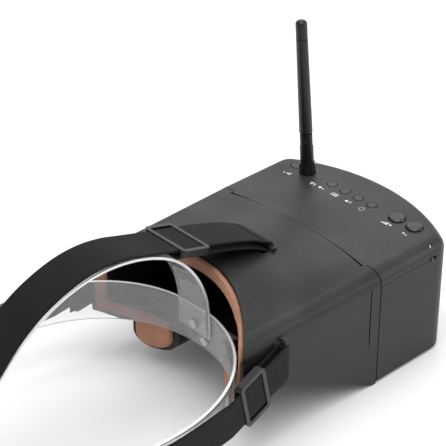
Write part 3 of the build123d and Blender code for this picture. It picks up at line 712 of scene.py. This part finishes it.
def reskinned(node: str, voxel: float, rounds: int) -> bmesh.types.BMesh:
    """A CAD node's form closed into small even faces and smoothed.

    Args:
        node: The CAD node.
        voxel: The size of the new faces.
        rounds: How many times the points are smoothed.

    Returns:
        The new form.
    """
    bm = node_copy(node)
    mesh = bpy.data.meshes.new(node + "_form")
    bm.to_mesh(mesh)
    bm.free()
    form = bpy.data.objects.new(node + "_form", mesh)
    bpy.context.scene.collection.objects.link(form)
    skin = form.modifiers.new("even skin", "REMESH")
    skin.mode = "VOXEL"
    skin.voxel_size = voxel
    depsgraph = bpy.context.evaluated_depsgraph_get()
    shaped = bpy.data.meshes.new_from_object(form.evaluated_get(depsgraph))
    bpy.data.objects.remove(form)
    bm = bmesh.new()
    bm.from_mesh(shaped)
    bpy.data.meshes.remove(shaped)
    axes = {"use_axis_x": True, "use_axis_y": True, "use_axis_z": True}
    for _ in range(rounds):
        bmesh.ops.smooth_vert(bm, verts=bm.verts, factor=0.5, **axes)
    bm.normal_update()
    return bm


def stitch(bm: bmesh.types.BMesh, place: Matrix, turn: Matrix, size: tuple[float, float, float]) -> None:
    """Adds one small rounded stitch, placed and sized in millimetres."""
    made = bmesh.ops.create_uvsphere(bm, u_segments=6, v_segments=4, radius=0.5)["verts"]
    shape = Matrix.Diagonal((*size, 1.0))
    bmesh.ops.transform(bm, matrix=Matrix.Scale(MM, 4) @ place @ turn @ shape, verts=made)


def flatten_normals(piece: bpy.types.Object, degrees: float = 40.0) -> None:
    """Keeps corners sharper than an angle crisp while the rest shades smoothly."""
    bm = bmesh.new()
    bm.from_mesh(piece.data)
    for edge in bm.edges:
        edge.smooth = len(edge.link_faces) == 2 and edge.calc_face_angle(0.0) < math.radians(degrees)
    bm.to_mesh(piece.data)
    bm.free()


def softened(
    name: str, node: str, body: str, width: float, segments: int = 3, degrees: float = 35.0
) -> bpy.types.Object:
    """A moulded copy of a CAD node with rounded edges, which stands for the node.

    Args:
        name: The new piece's name.
        node: The CAD node.
        body: The body it rides on.
        width: The rounding in millimetres.
        segments: Faces round each edge.
        degrees: The corner angle from which edges are rounded.

    Returns:
        The new piece.
    """
    bm = node_copy(node)
    bmesh.ops.dissolve_limit(bm, angle_limit=math.radians(2.0), verts=bm.verts, edges=bm.edges)
    piece = finish_mesh(name, bm, body)
    flatten_normals(piece, degrees)
    soft = piece.modifiers.new("rounding", "BEVEL")
    soft.width = width * MM
    soft.segments = segments
    soft.limit_method = "ANGLE"
    soft.angle_limit = math.radians(degrees)
    soft.use_clamp_overlap = True
    soft.harden_normals = False
    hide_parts(node)
    return piece


# ---- The studio ----


@dataclass
class Studio:
    """Camera, lights, white surroundings and floor."""

    look: Vector = field(default_factory=lambda: Vector((-16.81, -50.70, 102.93)) * MM)
    azimuth: float = 47.27
    elevation: float = 32.2
    distance: float = 1.11288
    lens: float = 141.1
    floor_half: float = 4.0

    def camera(self) -> None:
        """Sets the camera up at the display angle."""
        az, el = math.radians(self.azimuth), math.radians(self.elevation)
        way = Vector((-math.sin(az) * math.cos(el), math.cos(az) * math.cos(el), -math.sin(el)))
        data = bpy.data.cameras.new("camera")
        data.lens = self.lens
        data.sensor_width = 36.0
        data.clip_end = 50.0
        camera = bpy.data.objects.new("camera", data)
        camera.location = self.look - way * self.distance
        camera.rotation_euler = way.to_track_quat("-Z", "Y").to_euler()
        bpy.context.scene.collection.objects.link(camera)
        bpy.context.scene.camera = camera

    def world(self) -> None:
        """White surroundings, a little darker behind and low down."""
        world = bpy.data.worlds.new("surroundings")
        bpy.context.scene.world = world
        world.use_nodes = True
        g = Graph(world.node_tree)
        place = g.add("TexCoord").outputs["Generated"]
        split = g.add("SeparateXYZ", {0: place})
        forward = g.ramp(split.outputs["Y"], -1.0, 1.0, 0.60, 0.95)
        height = g.ramp(split.outputs["Z"], -0.1, 0.7, 0.55, 1.05)
        strength = g.math("MULTIPLY", forward, height)
        seen = g.add("LightPath").outputs["Is Camera Ray"]
        strength = g.math("MAXIMUM", strength, seen)
        back = world.node_tree.nodes["Background"]
        back.inputs["Color"].default_value = (1.0, 1.0, 1.0, 1.0)
        world.node_tree.links.new(strength, back.inputs["Strength"])

    def lamp(self, name: str, place: tuple, aim: tuple, size: float, watts: float) -> None:
        """Adds one soft square light.

        Args:
            name: The light's name.
            place: Where it hangs, in metres.
            aim: The point it looks at.
            size: Its side.
            watts: Its power.
        """
        data = bpy.data.lights.new(name, "AREA")
        data.size = size
        data.energy = watts
        lamp = bpy.data.objects.new(name, data)
        lamp.location = place
        lamp.rotation_euler = (Vector(aim) - Vector(place)).to_track_quat("-Z", "Y").to_euler()
        bpy.context.scene.collection.objects.link(lamp)

    def floor(self) -> None:
        """A plain pale floor just under the part."""
        bm = bmesh.new()
        bmesh.ops.create_grid(bm, x_segments=1, y_segments=1, size=self.floor_half)
        bmesh.ops.translate(bm, verts=bm.verts, vec=(0.0, 0.0, -0.0002))
        mesh = bpy.data.meshes.new("floor")
        bm.to_mesh(mesh)
        bm.free()
        floor = bpy.data.objects.new("floor", mesh)
        bpy.context.scene.collection.objects.link(floor)
        paint = Paint("floor_white", {"Roughness": 0.75, "Specular IOR Level": 0.2})
        g = paint.graph
        paint.feed("Base Color", g.mix(g.ramp(g.noise(3.0, 2.0), 0.3, 0.7), grey(0.90), grey(0.93)))
        mesh.materials.append(paint.material)

    def build(self) -> None:
        """Builds the whole studio."""
        bpy.context.scene.view_settings.view_transform = "Standard"
        self.camera()
        self.world()
        self.floor()
        self.lamp("overhead", (0.15, -0.25, 1.7), (0.05, -0.15, 0.0), 1.5, 20.0)
        self.lamp("far left", (-1.0, 0.95, 0.9), (-0.02, -0.03, 0.08), 0.9, 3.0)
        self.lamp("front right", (1.05, 0.95, 0.55), (0.05, 0.02, 0.05), 0.5, 3.2)


# ---- The fixed housing and shroud ----


@dataclass
class Housings:
    """Finishes of the CAD nodes whose shape is already right."""

    def build(self) -> None:
        """Dresses each node."""
        finishes = {
            "front_top_cover": Moulded("cover_satin", grey(0.021), 0.44, wear=0.3, specular=0.36),
            "front_lower_shell": Moulded("shell_satin", SHELL, 0.46, wear=0.3, specular=0.3),
            # The shroud's darker colour is painted shade.
            "face_shroud": Moulded("shroud_satin_shaded", SHROUD_SHADED, 0.44, wear=0.3, specular=0.36),
            "lens_frame": Moulded("lens_frame_matt", grey(0.008), 0.6, wear=0.1),
            "screen_bezel": Moulded("bezel_matt", grey(0.008), 0.6, wear=0.1),
            "screen_panel": Screen("display_glass"),
            "main_board": Board("main_board_mask", (0.01, 0.10, 0.04), (0.35, 0.28, 0.12)),
            "button_board": Board("button_board_mask", (0.01, 0.09, 0.04), (0.30, 0.25, 0.12), 320.0),
            "receiver_module": Metal("shield_can", (0.72, 0.72, 0.70), 0.32),
            "battery": Board("battery_wrap", (0.05, 0.07, 0.16), (0.10, 0.13, 0.26), 60.0, 0.4),
            "tactile_switches": Moulded("switch_nylon", grey(0.04), 0.5, wear=0.2),
            "power_switch_body": Moulded("switch_case", grey(0.03), 0.5, wear=0.2),
            "power_switch_knob": Moulded("knob_satin", grey(0.012), 0.4, wear=0.3),
            "av_jack": Moulded("jack_nylon", grey(0.015), 0.4, wear=0.2),
            "charge_socket": Metal("socket_nickel", (0.66, 0.66, 0.65), 0.25),
            "case_screws": Metal("screw_black_zinc", (0.12, 0.12, 0.125), 0.35),
            "indicator_light": Moulded("indicator_smoke", INDICATOR, 0.3, wear=0.0, specular=0.2),
        }
        for node, finish in finishes.items():
            self.paint(node, finish.build())
        low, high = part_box("fresnel_lens")
        self.paint("fresnel_lens", Lens("fresnel_rings", (low + high) / 2).build())
        LOG.info("dressed %d fixed nodes", len(finishes) + 1)

    @staticmethod
    def paint(node: str, material: bpy.types.Material) -> None:
        """Puts one material on a CAD node."""
        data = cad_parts[node].data
        data.materials.clear()
        data.materials.append(material)


@dataclass
class Controls:
    """Push buttons and the printed pictograms beside them."""

    large: tuple[str, ...] = ("large_button_1", "large_button_2")
    small: tuple[str, ...] = ("search_button", *(f"small_button_{i}" for i in range(1, 5)))

    def build(self) -> None:
        """Dresses the buttons and prints the pictograms."""
        for node in self.large:
            low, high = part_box(node)
            centre = Vector(((low.x + high.x) / 2, (low.y + high.y) / 2, 0.0))
            Housings.paint(node, DishedCap(node + "_gloss", centre, grey(0.007), 0.0036, 0.0043).build())
        satin = Moulded("button_satin", grey(0.010), 0.36, wear=0.8, coat=0.05, specular=0.4).build()
        for node in self.small:
            Housings.paint(node, satin)
        self.pictograms()

    def pictograms(self) -> None:
        """Prints a generic white sign next to each control."""
        ink = Ink("pad_print", grey(0.95)).build()
        signs = Signs()
        signs.draw(signs.magnifier, -57.3, 44.2)
        signs.draw(signs.waves, -32.9, 46.2)
        signs.draw(signs.lower, -23.9, 46.4)
        signs.draw(signs.menu, -11.8, 46.9)
        signs.draw(signs.higher, 0.7, 47.2)
        signs.draw(signs.sun, 13.6, 46.9)
        signs.draw(signs.bars, 35.8, 45.9)
        signs.draw(signs.loop, 51.4, 44.5)
        piece = finish_mesh("printed_pictograms", signs.bm, "housing")
        self.lift(piece)
        dress(piece, "button_gloss", ink)
        power = Signs()
        power.power()
        piece = finish_mesh("power_pictogram", power.bm, "housing")
        self.lift(piece)
        dress(piece, "button_gloss", ink)

    @staticmethod
    def lift(piece: bpy.types.Object) -> None:
        """Gives printed ink its slight thickness."""
        film = piece.modifiers.new("ink film", "SOLIDIFY")
        film.thickness = 0.00004
        film.offset = 1.0


class Signs:
    """Flat pictograms drawn from bars, rings and triangles on the top cover."""

    def __init__(self) -> None:
        """Starts with nothing printed."""
        self.bm = bmesh.new()
        self.height = TOP_Z + 0.02
        self.grow = 1.4

    def draw(self, sign: Callable[[float, float], None], x: float, y: float) -> None:
        """Draws one sign round a point, at the printed size."""
        before = set(self.bm.verts)
        sign(x, y)
        made = [v for v in self.bm.verts if v not in before]
        centre = Matrix.Translation(Vector((x, y, 0.0)) * MM)
        size = Matrix.Diagonal((self.grow, self.grow, 1.0, 1.0))
        bmesh.ops.transform(self.bm, matrix=centre @ size @ centre.inverted(), verts=made)

    def place(self, verts: list, matrix: Matrix) -> None:
        """Scales and moves new vertices from millimetres to their place."""
        bmesh.ops.transform(self.bm, matrix=Matrix.Scale(MM, 4) @ matrix, verts=verts)

    def bar(self, x: float, y: float, width: float, height: float, degrees: float = 0.0) -> None:
        """A filled bar."""
        made = bmesh.ops.create_grid(self.bm, x_segments=2, y_segments=1, size=0.5)["verts"]
        turn = Matrix.Rotation(math.radians(degrees), 4, "Z")
        size = Matrix.Diagonal((width, height, 1.0, 1.0))
        self.place(made, Matrix.Translation((x, y, self.height)) @ turn @ size)

    def ring(self, x: float, y: float, radius: float, line: float = 0.35, segments: int = 20) -> None:
        """A circle drawn with a line."""
        made = bmesh.ops.create_circle(self.bm, cap_ends=True, segments=segments, radius=radius)["verts"]
        faces = list({f for v in made for f in v.link_faces})
        bmesh.ops.inset_region(self.bm, faces=faces, thickness=line)
        inner = [f for f in faces if f.is_valid]
        rim = {v for v in self.bm.verts if v in made} | {v for f in inner for v in f.verts}
        bmesh.ops.delete(self.bm, geom=inner, context="FACES_ONLY")
        self.place(list(rim), Matrix.Translation((x, y, self.height)))

    def triangle(self, x: float, y: float, radius: float, degrees: float) -> None:
        """A filled triangle that points along a heading."""
        made = bmesh.ops.create_circle(self.bm, cap_ends=True, segments=3, radius=radius)["verts"]
        turn = Matrix.Rotation(math.radians(degrees - 90.0), 4, "Z")
        self.place(made, Matrix.Translation((x, y, self.height)) @ turn)

    def dot(self, x: float, y: float, radius: float) -> None:
        """A filled disc."""
        made = bmesh.ops.create_circle(self.bm, cap_ends=True, segments=12, radius=radius)["verts"]
        self.place(made, Matrix.Translation((x, y, self.height)))

    def magnifier(self, x: float, y: float) -> None:
        """Looking for a channel."""
        self.ring(x - 0.6, y + 0.2, 1.15)
        self.bar(x + 0.75, y - 1.0, 1.5, 0.45, -42)
        for i, size in enumerate((0.9, 1.5, 2.1)):
            self.bar(x + 2.4 + 0.8 * i, y - 1.05 + size / 2, 0.5, size)

    def waves(self, x: float, y: float) -> None:
        """Radio reception."""
        self.dot(x, y - 0.8, 0.4)
        for i in range(2):
            self.bar(x, y + 0.1 + 0.8 * i, 1.4 + 1.2 * i, 0.4)
        self.bar(x + 1.9, y, 0.4, 2.2)

    def lower(self, x: float, y: float) -> None:
        """A step down."""
        self.triangle(x - 1.1, y + 0.2, 1.2, -90.0)
        self.bar(x + 0.9, y, 1.5, 0.45)

    def higher(self, x: float, y: float) -> None:
        """A step up."""
        self.triangle(x - 1.1, y - 0.2, 1.2, 90.0)
        self.bar(x + 0.9, y, 1.5, 0.45)
        self.bar(x + 0.9, y, 0.45, 1.5)

    def menu(self, x: float, y: float) -> None:
        """A list of choices."""
        for i in range(3):
            self.dot(x - 1.8, y - 0.9 + 0.9 * i, 0.28)
            self.bar(x + 0.3, y - 0.9 + 0.9 * i, 3.0, 0.38)

    def sun(self, x: float, y: float) -> None:
        """Brightness."""
        self.ring(x - 0.5, y, 0.75)
        for i in range(8):
            way = towards(45.0 * i) * 1.35
            self.bar(x - 0.5 + way.x, y + way.y, 0.55, 0.3, 45.0 * i)

    def bars(self, x: float, y: float) -> None:
        """Signal level."""
        for i, size in enumerate((0.8, 1.3, 1.8, 2.3)):
            self.bar(x - 2.0 + 1.0 * i, y - 1.15 + size / 2, 0.6, size)
        self.triangle(x + 2.7, y, 0.9, 0.0)

    def loop(self, x: float, y: float) -> None:
        """Starting again."""
        self.ring(x - 0.9, y, 1.15)
        self.triangle(x + 0.4, y + 0.5, 0.8, 70.0)
        self.bar(x + 2.1, y, 1.3, 0.42)

    def power(self) -> None:
        """The power sign, printed on the housing's right wall above the switch."""
        self.ring(0.0, 0.0, 1.7, 0.5, 24)
        self.bar(0.0, 1.5, 0.55, 2.0)
        stand = Matrix(((0, 0, 1, 0), (1, 0, 0, 0), (0, 1, 0, 0), (0, 0, 0, 1)))
        _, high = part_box("front_top_cover")
        drop = Matrix.Translation((0.0, 0.0, -self.height * MM))
        place = Matrix.Translation((high.x - 0.00195, 0.0482, 0.0826))
        lean = Matrix.Rotation(math.radians(-27.0), 4, "Y")
        bmesh.ops.transform(self.bm, matrix=place @ lean @ stand @ drop, verts=self.bm.verts)
        LOG.info("power sign on the right wall")


@dataclass
class Antenna:
    """The folding whip antenna."""

    def build(self) -> None:
        """Dresses the antenna's nodes."""
        rubber = Moulded("antenna_rubber", grey(0.006), 0.34, 1900.0, 0.00002, 0.2, 0.05, specular=0.45)
        rubber = rubber.build()
        for node in ("antenna_whip", "antenna_tip", "antenna_barrel"):
            Housings.paint(node, rubber)
        gloss = Moulded("collar_gloss", grey(0.006), 0.28, wear=0.3, coat=0.15)
        Housings.paint("antenna_collar", gloss.build())
        Housings.paint("antenna_connector", Metal("connector_brass", (0.72, 0.55, 0.25), 0.24).build())
        Housings.paint("hinge_pin", Metal("hinge_steel", (0.09, 0.09, 0.09), 0.35).build())
        LOG.info("dressed the antenna")


# ---- Soft parts ----


@dataclass
class FaceFoam:
    """The four foam pieces of the face shroud's rim."""

    nodes: tuple[str, ...] = tuple(f"{p}_foam_{s}" for p in ("forehead", "cheek") for s in ("left", "right"))
    voxel: float = 0.0008
    rounds: int = 7
    nap: float = 0.00010
    swell: float = 0.0003

    def build(self) -> None:
        """Builds each pad as a soft closed form."""
        cloth = FoamCloth("foam_copper_cloth", (0.44, 0.225, 0.150)).build()
        for node in self.nodes:
            dress(self.pad(node), "foam_copper", cloth)

    def pad(self, node: str) -> bpy.types.Object:
        """One pad: the node's form closed into even faces, rounded, and slightly uneven."""
        bm = reskinned(node, self.voxel, self.rounds)
        for vert in bm.verts:
            wave = noise.noise(vert.co * 260.0) + 0.5 * noise.noise(vert.co * 700.0)
            vert.co += vert.normal * (self.swell + self.nap * wave)
        piece = finish_mesh(node.replace("foam", "pad"), bm, "housing")
        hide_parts(node)
        return piece


@dataclass
class HeadForm:
    """The clear hoop and crown strip that hold the straps in shape."""

    front_y: float = -88.0
    back_y: float = -284.0
    half: float = 87.0
    squareness: float = 2.15
    low_z: float = 36.0
    high_z: float = 65.0
    thickness: float = 1.8
    crown_width: float = 28.0

    def outline(self, degrees: float, grow: float = 0.0) -> Vector:
        """A point of the hoop's squared oval, moved outwards, for an angle from the front."""
        angle, power = math.radians(degrees), 2 / self.squareness
        half_length = (self.front_y - self.back_y) / 2
        x = (self.half + grow) * abs(math.sin(angle)) ** power
        y = (half_length + grow) * abs(math.cos(angle)) ** power
        x, y = math.copysign(x, math.sin(angle)), math.copysign(y, math.cos(angle))
        return Vector((x, self.front_y - half_length + y))

    def crown_line(self) -> list[Vector]:
        """The crown strip's line over the head, as (y, z) points."""
        points = [
            (self.front_y - 2.7, 47.5),
            (self.front_y - 2.7, 60),
            (-93, 80),
            (-102, 101),
            (-118, 119),
            (-144, 131.5),
            (-174, 135.5),
            (-203, 130),
            (-230, 115),
            (-255, 91),
            (-271, 74),
            (-278.5, 61.5),
            (self.back_y + 4.4, 53),
            (self.back_y + 4.4, 43),
        ]
        return catmull([Vector(p) for p in points])

    def build(self) -> None:
        """Builds the hoop, the crown strip and the rivets' finish."""
        clear = Clear("form_clear", (0.95, 0.95, 0.965), 0.87, 0.05).build()
        # The edge material's nearly opaque white is a painted highlight on the strips' edges.
        edge = Clear("form_edge_painted_highlight", (0.98, 0.98, 0.985), 0.12, 0.15).build()
        middle_z = (self.low_z + self.high_z) / 2
        ring = [Vector((*self.outline(angle), middle_z)) for angle in range(0, 361, 3)]
        hoop = Band("head_hoop", "housing", self.high_z - self.low_z, self.thickness, 3.0, 6, 0.2)
        piece = hoop.lay(ring, Vector((0.0, 0.0, 1.0)), closed=True)
        self.polish(piece, "head_form_hoop", clear, edge)
        strip = [Vector((0.0, p.x, p.y)) for p in self.crown_line()]
        crown = Band("crown_strip", "housing", self.crown_width, self.thickness, 3.0, 6, 0.2)
        piece = crown.lay(strip, Vector((1.0, 0.0, 0.0)))
        self.polish(piece, "head_form_crown", clear, edge)
        Housings.paint("head_form_rivets", Clear("rivet_clear", (0.95, 0.955, 0.96), 0.6, 0.1).build())

    @staticmethod
    def polish(piece: bpy.types.Object, node: str, *materials: bpy.types.Material) -> None:
        """Gives a strip clear faces and flame-polished edges whose brightness is painted: a nearly opaque
        white stands in for the light they catch.
        """
        dress(piece, "clear_plastic", *materials)
        piece.modifiers["thickness"].material_offset_rim = 1
        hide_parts(node)


@dataclass
class Straps:
    """The three elastic straps, each one length of webbing folded round its bar."""

    form: HeadForm
    web: float = 1.4
    bar_radius: float = 1.5
    top_width: float = 29.0
    side_width: float = 25.5
    top_bar: tuple[float, float] = (-39.0, 94.6)
    top_buckle: tuple[float, float] = (-105.0, 119.6)
    top_heading: float = 164.0
    first_heading: float = 149.0
    side_bar: tuple[float, float] = (75.2, -85.5)
    side_heading: float = -82.0
    side_buckle_y: float = -117.0
    run: float = 21.0
    slot_z: float = 62.0
    back_z: float = 50.0

    @property
    def layer(self) -> float:
        """How far a layer's middle lies from the bar's axis."""
        return self.bar_radius + 0.35 + self.web / 2

    @property
    def off_form(self) -> float:
        """How far a strap's middle lies outside the hoop's middle."""
        return self.form.thickness / 2 + 0.5 + self.web / 2

    def top_line(self) -> list[Vector]:
        """The top strap's line as (y, z) points: under layer, fold, upper layer, head and tail."""
        bar, buckle = Vector(self.top_bar), Vector(self.top_buckle)
        way = towards(self.top_heading)
        first = towards(self.first_heading)
        points = [bar, bar + towards(152.5) * 20, buckle - way * self.run, buckle, buckle + way * self.run]
        ghost = [bar - first * 12, *points]
        middle = catmull(ghost)[12:]
        upper, under = sideways(middle, self.layer), sideways(middle, -self.layer)
        stop = buckle + way * 13
        under = [p for p in under if p.x >= stop.x]
        start = bar - Vector((first.y, -first.x)) * self.layer
        fold = half_turn(bar, start, 1)
        crown = ((-181, 135.0), (-197, 131.6), (-216, 123.8), (-235, 110.4), (-252, 93.8))
        rise = [Vector(p) for p in ((-138.6, 132.2), (-152.8, 136.4), (-166.9, 138.6))]
        outside = rise + sideways([Vector(p) for p in crown], 3.4)
        back = self.form.back_y - self.off_form
        tail = [Vector((back, z)) for z in (74.0, 58.0, 45.0)]
        head = catmull([upper[-6], upper[-1], *outside, *tail])
        return under[::-1] + fold + upper[:-1] + head[12:]

    def side_z(self, y: float) -> float:
        """The height of the side strap's middle."""
        knee = self.side_buckle_y - self.run * math.sin(math.radians(82.0))
        share = (self.side_bar[1] - y) / (self.side_bar[1] - knee)
        share = min(max(share, 0.0), 1.0)
        return self.slot_z + (self.back_z - self.slot_z) * share

    def side_line(self) -> list[Vector]:
        """The right strap's line in plan: inner layer, fold, outer layer and the way round the head."""
        bar = Vector(self.side_bar)
        way = towards(self.side_heading)
        to_buckle = (self.side_bar[1] - self.side_buckle_y) / math.cos(math.radians(8.0))
        outward = Vector((-way.y, way.x)) * self.layer
        inner = [bar + way * (to_buckle + 12) - outward, bar + way * 10 - outward, bar - outward]
        fold = half_turn(bar, bar - outward, 1)
        outer = [bar + outward, bar + way * 12 + outward, bar + way * (to_buckle + 8) + outward]
        end = bar + way * (to_buckle + self.run) + outward
        round_head = [self.form.outline(angle, self.off_form) for angle in range(85, 168, 6)]
        sweep = catmull([outer[-1], end, *round_head])
        return inner + fold + outer[:-1] + sweep

    def build(self) -> None:
        """Builds the three straps and their stitching."""
        top_cloth = Webbing("top_webbing", grey(0.0065), 0.0009, 0.0145).build()
        side_cloth = Webbing("side_webbing", grey(0.0065), 0.0009, 0.01275).build()
        thread = Webbing("strap_thread", grey(0.03), 0.0006, 0.002).build()
        line = [Vector((0.0, p.x, p.y)) for p in self.top_line()]
        band = Band("top_webbing", "housing", self.top_width, self.web, 1.6, 10, 0.35)
        piece = band.lay(line, Vector((1.0, 0.0, 0.0)))
        dress(piece, "webbing_black", top_cloth)
        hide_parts("top_strap")
        plan = evenly(self.side_line(), 1.6)
        for side, name, node in ((1, "right_webbing", "right_strap"), (-1, "left_webbing", "left_strap")):
            points = [Vector((side * p.x, p.y, self.side_z(p.y))) for p in plan]
            band = Band(name, "housing", self.side_width, self.web, 1.6, 10, 0.35)
            piece = band.lay(points, Vector((0.0, 0.0, float(side))))
            dress(piece, "webbing_black", side_cloth)
            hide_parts(node)
        self.tack(thread)

    def tack(self, thread: bpy.types.Material) -> None:
        """Sews the bar tacks that close the top strap's loop."""
        bar, way = Vector(self.top_bar), towards(self.first_heading)
        lift = Vector((way.y, -way.x)) * (self.layer + self.web / 2)
        bm = bmesh.new()
        for row in range(2):
            for i in range(15):
                x = (i - 7) * 1.75
                spot = bar + way * (6.5 + 3.0 * row) + lift
                turn = Matrix.Rotation(math.radians(self.first_heading - 180.0), 4, "X")
                stitch(bm, Matrix.Translation((x, spot.x, spot.y)), turn, (1.45, 0.5, 0.42))
        piece = finish_mesh("top_strap_tacks", bm, "housing")
        dress(piece, "webbing_black", thread)


@dataclass
class Buckles:
    """The three sliding buckles, with rounded rails."""

    bodies: tuple[str, ...] = ("top_buckle", "right_buckle", "left_buckle")

    def build(self) -> None:
        """Builds each buckle on its own body."""
        gloss = Moulded("buckle_satin", grey(0.009), 0.36, 1200.0, 0.00003, 0.35, 0.06, 0.1, 0.4).build()
        for body in self.bodies:
            piece = softened(body + "_moulding", body, body, 0.7, 3)
            dress(piece, "buckle_black", gloss)


@dataclass
class BackPad:
    """The stitched pad at the back of the head, where the straps end."""

    form: HeadForm
    width: float = 78.0
    height: float = 48.0
    corner: float = 12.0
    middle_z: float = 53.0
    inset: float = 3.4
    voxel: float = 0.0009
    rounds: int = 3

    def build(self) -> None:
        """Builds the pad from its CAD form, sinks the seam and sews it."""
        cloth = PatchCloth("back_pad_cloth", grey(0.02)).build()
        thread = Webbing("pad_thread", grey(0.07), 0.0006, 0.002).build()
        piece = self.pad()
        dress(piece, "patch_black", cloth)
        dress(self.stitches(), "patch_black", thread)

    def edge_distance(self, x: float, z: float) -> float:
        """How far inside the pad's rounded outline a point lies, in millimetres."""
        qx = abs(x) - (self.width / 2 - self.corner)
        qz = abs(z - self.middle_z) - (self.height / 2 - self.corner)
        outside = math.hypot(max(qx, 0.0), max(qz, 0.0))
        return self.corner - outside - min(max(qx, qz), 0.0)

    def pad(self) -> bpy.types.Object:
        """The pad itself, with a sunk seam line round it."""
        bm = reskinned("back_patch", self.voxel, self.rounds)
        for vert in bm.verts:
            depth = self.edge_distance(vert.co.x / MM, vert.co.z / MM)
            if vert.normal.y < -0.3:
                groove = math.exp(-(((depth - self.inset) / 0.8) ** 2))
                crown = 1.0 - math.exp(-max(depth - self.inset, 0.0) / 6.0)
                vert.co += vert.normal * MM * (0.75 * crown - 0.6 * groove)
        piece = finish_mesh("back_pad", bm, "housing")
        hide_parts("back_patch")
        return piece

    def stitches(self) -> bpy.types.Object:
        """A row of stitches along the seam."""
        half_w, half_h = self.width / 2 - self.inset, self.height / 2 - self.inset
        corner = self.corner - self.inset
        corners = ((half_w - corner, half_h - corner, 0), (-half_w + corner, half_h - corner, 90))
        corners += ((-half_w + corner, -half_h + corner, 180), (half_w - corner, -half_h + corner, 270))
        loop = []
        for cx, cz, start in corners:
            loop += [Vector((cx, cz)) + towards(start + 15 * i) * corner for i in range(7)]
        loop = evenly(loop + [loop[0]], 2.9)[:-1]
        grow = self.form.thickness / 2 + 0.5 + 1.4 + 1.7 + 2.2 - 0.3
        bm = bmesh.new()
        for here, ahead in zip(loop, loop[1:] + loop[:1]):
            way = (ahead - here).normalized()
            y = self.back_at(here.x, grow)
            slope = math.atan2(self.back_at(here.x + 1.0, grow) - self.back_at(here.x - 1.0, grow), 2.0)
            turn = Matrix.Rotation(slope, 4, "Z") @ Matrix.Rotation(-math.atan2(way.y, way.x), 4, "Y")
            place = Matrix.Translation((here.x, y, here.y + self.middle_z))
            stitch(bm, place, turn, (2.2, 0.75, 0.75))
        return finish_mesh("back_pad_stitches", bm, "housing")

    def back_at(self, x: float, grow: float) -> float:
        """The y of the pad's outer face at a distance from the middle plane."""
        half_length = (self.form.front_y - self.form.back_y) / 2
        centre = self.form.front_y - half_length
        share = min(abs(x) / (self.form.half + grow), 1.0)
        rise = (1.0 - share**self.form.squareness) ** (1.0 / self.form.squareness)
        return centre - (half_length + grow) * rise


# ---- The whole ----


def main() -> None:
    logging.basicConfig(level=logging.INFO, format="%(name)s: %(message)s")
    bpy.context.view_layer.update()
    Studio().build()
    form = HeadForm()
    fixed = (Housings(), Controls(), Antenna(), FaceFoam())
    for assembly in (*fixed, form, Straps(form), Buckles(), BackPad(form)):
        assembly.build()
    bpy.context.view_layer.update()


if __name__ == "__main__":
    main()
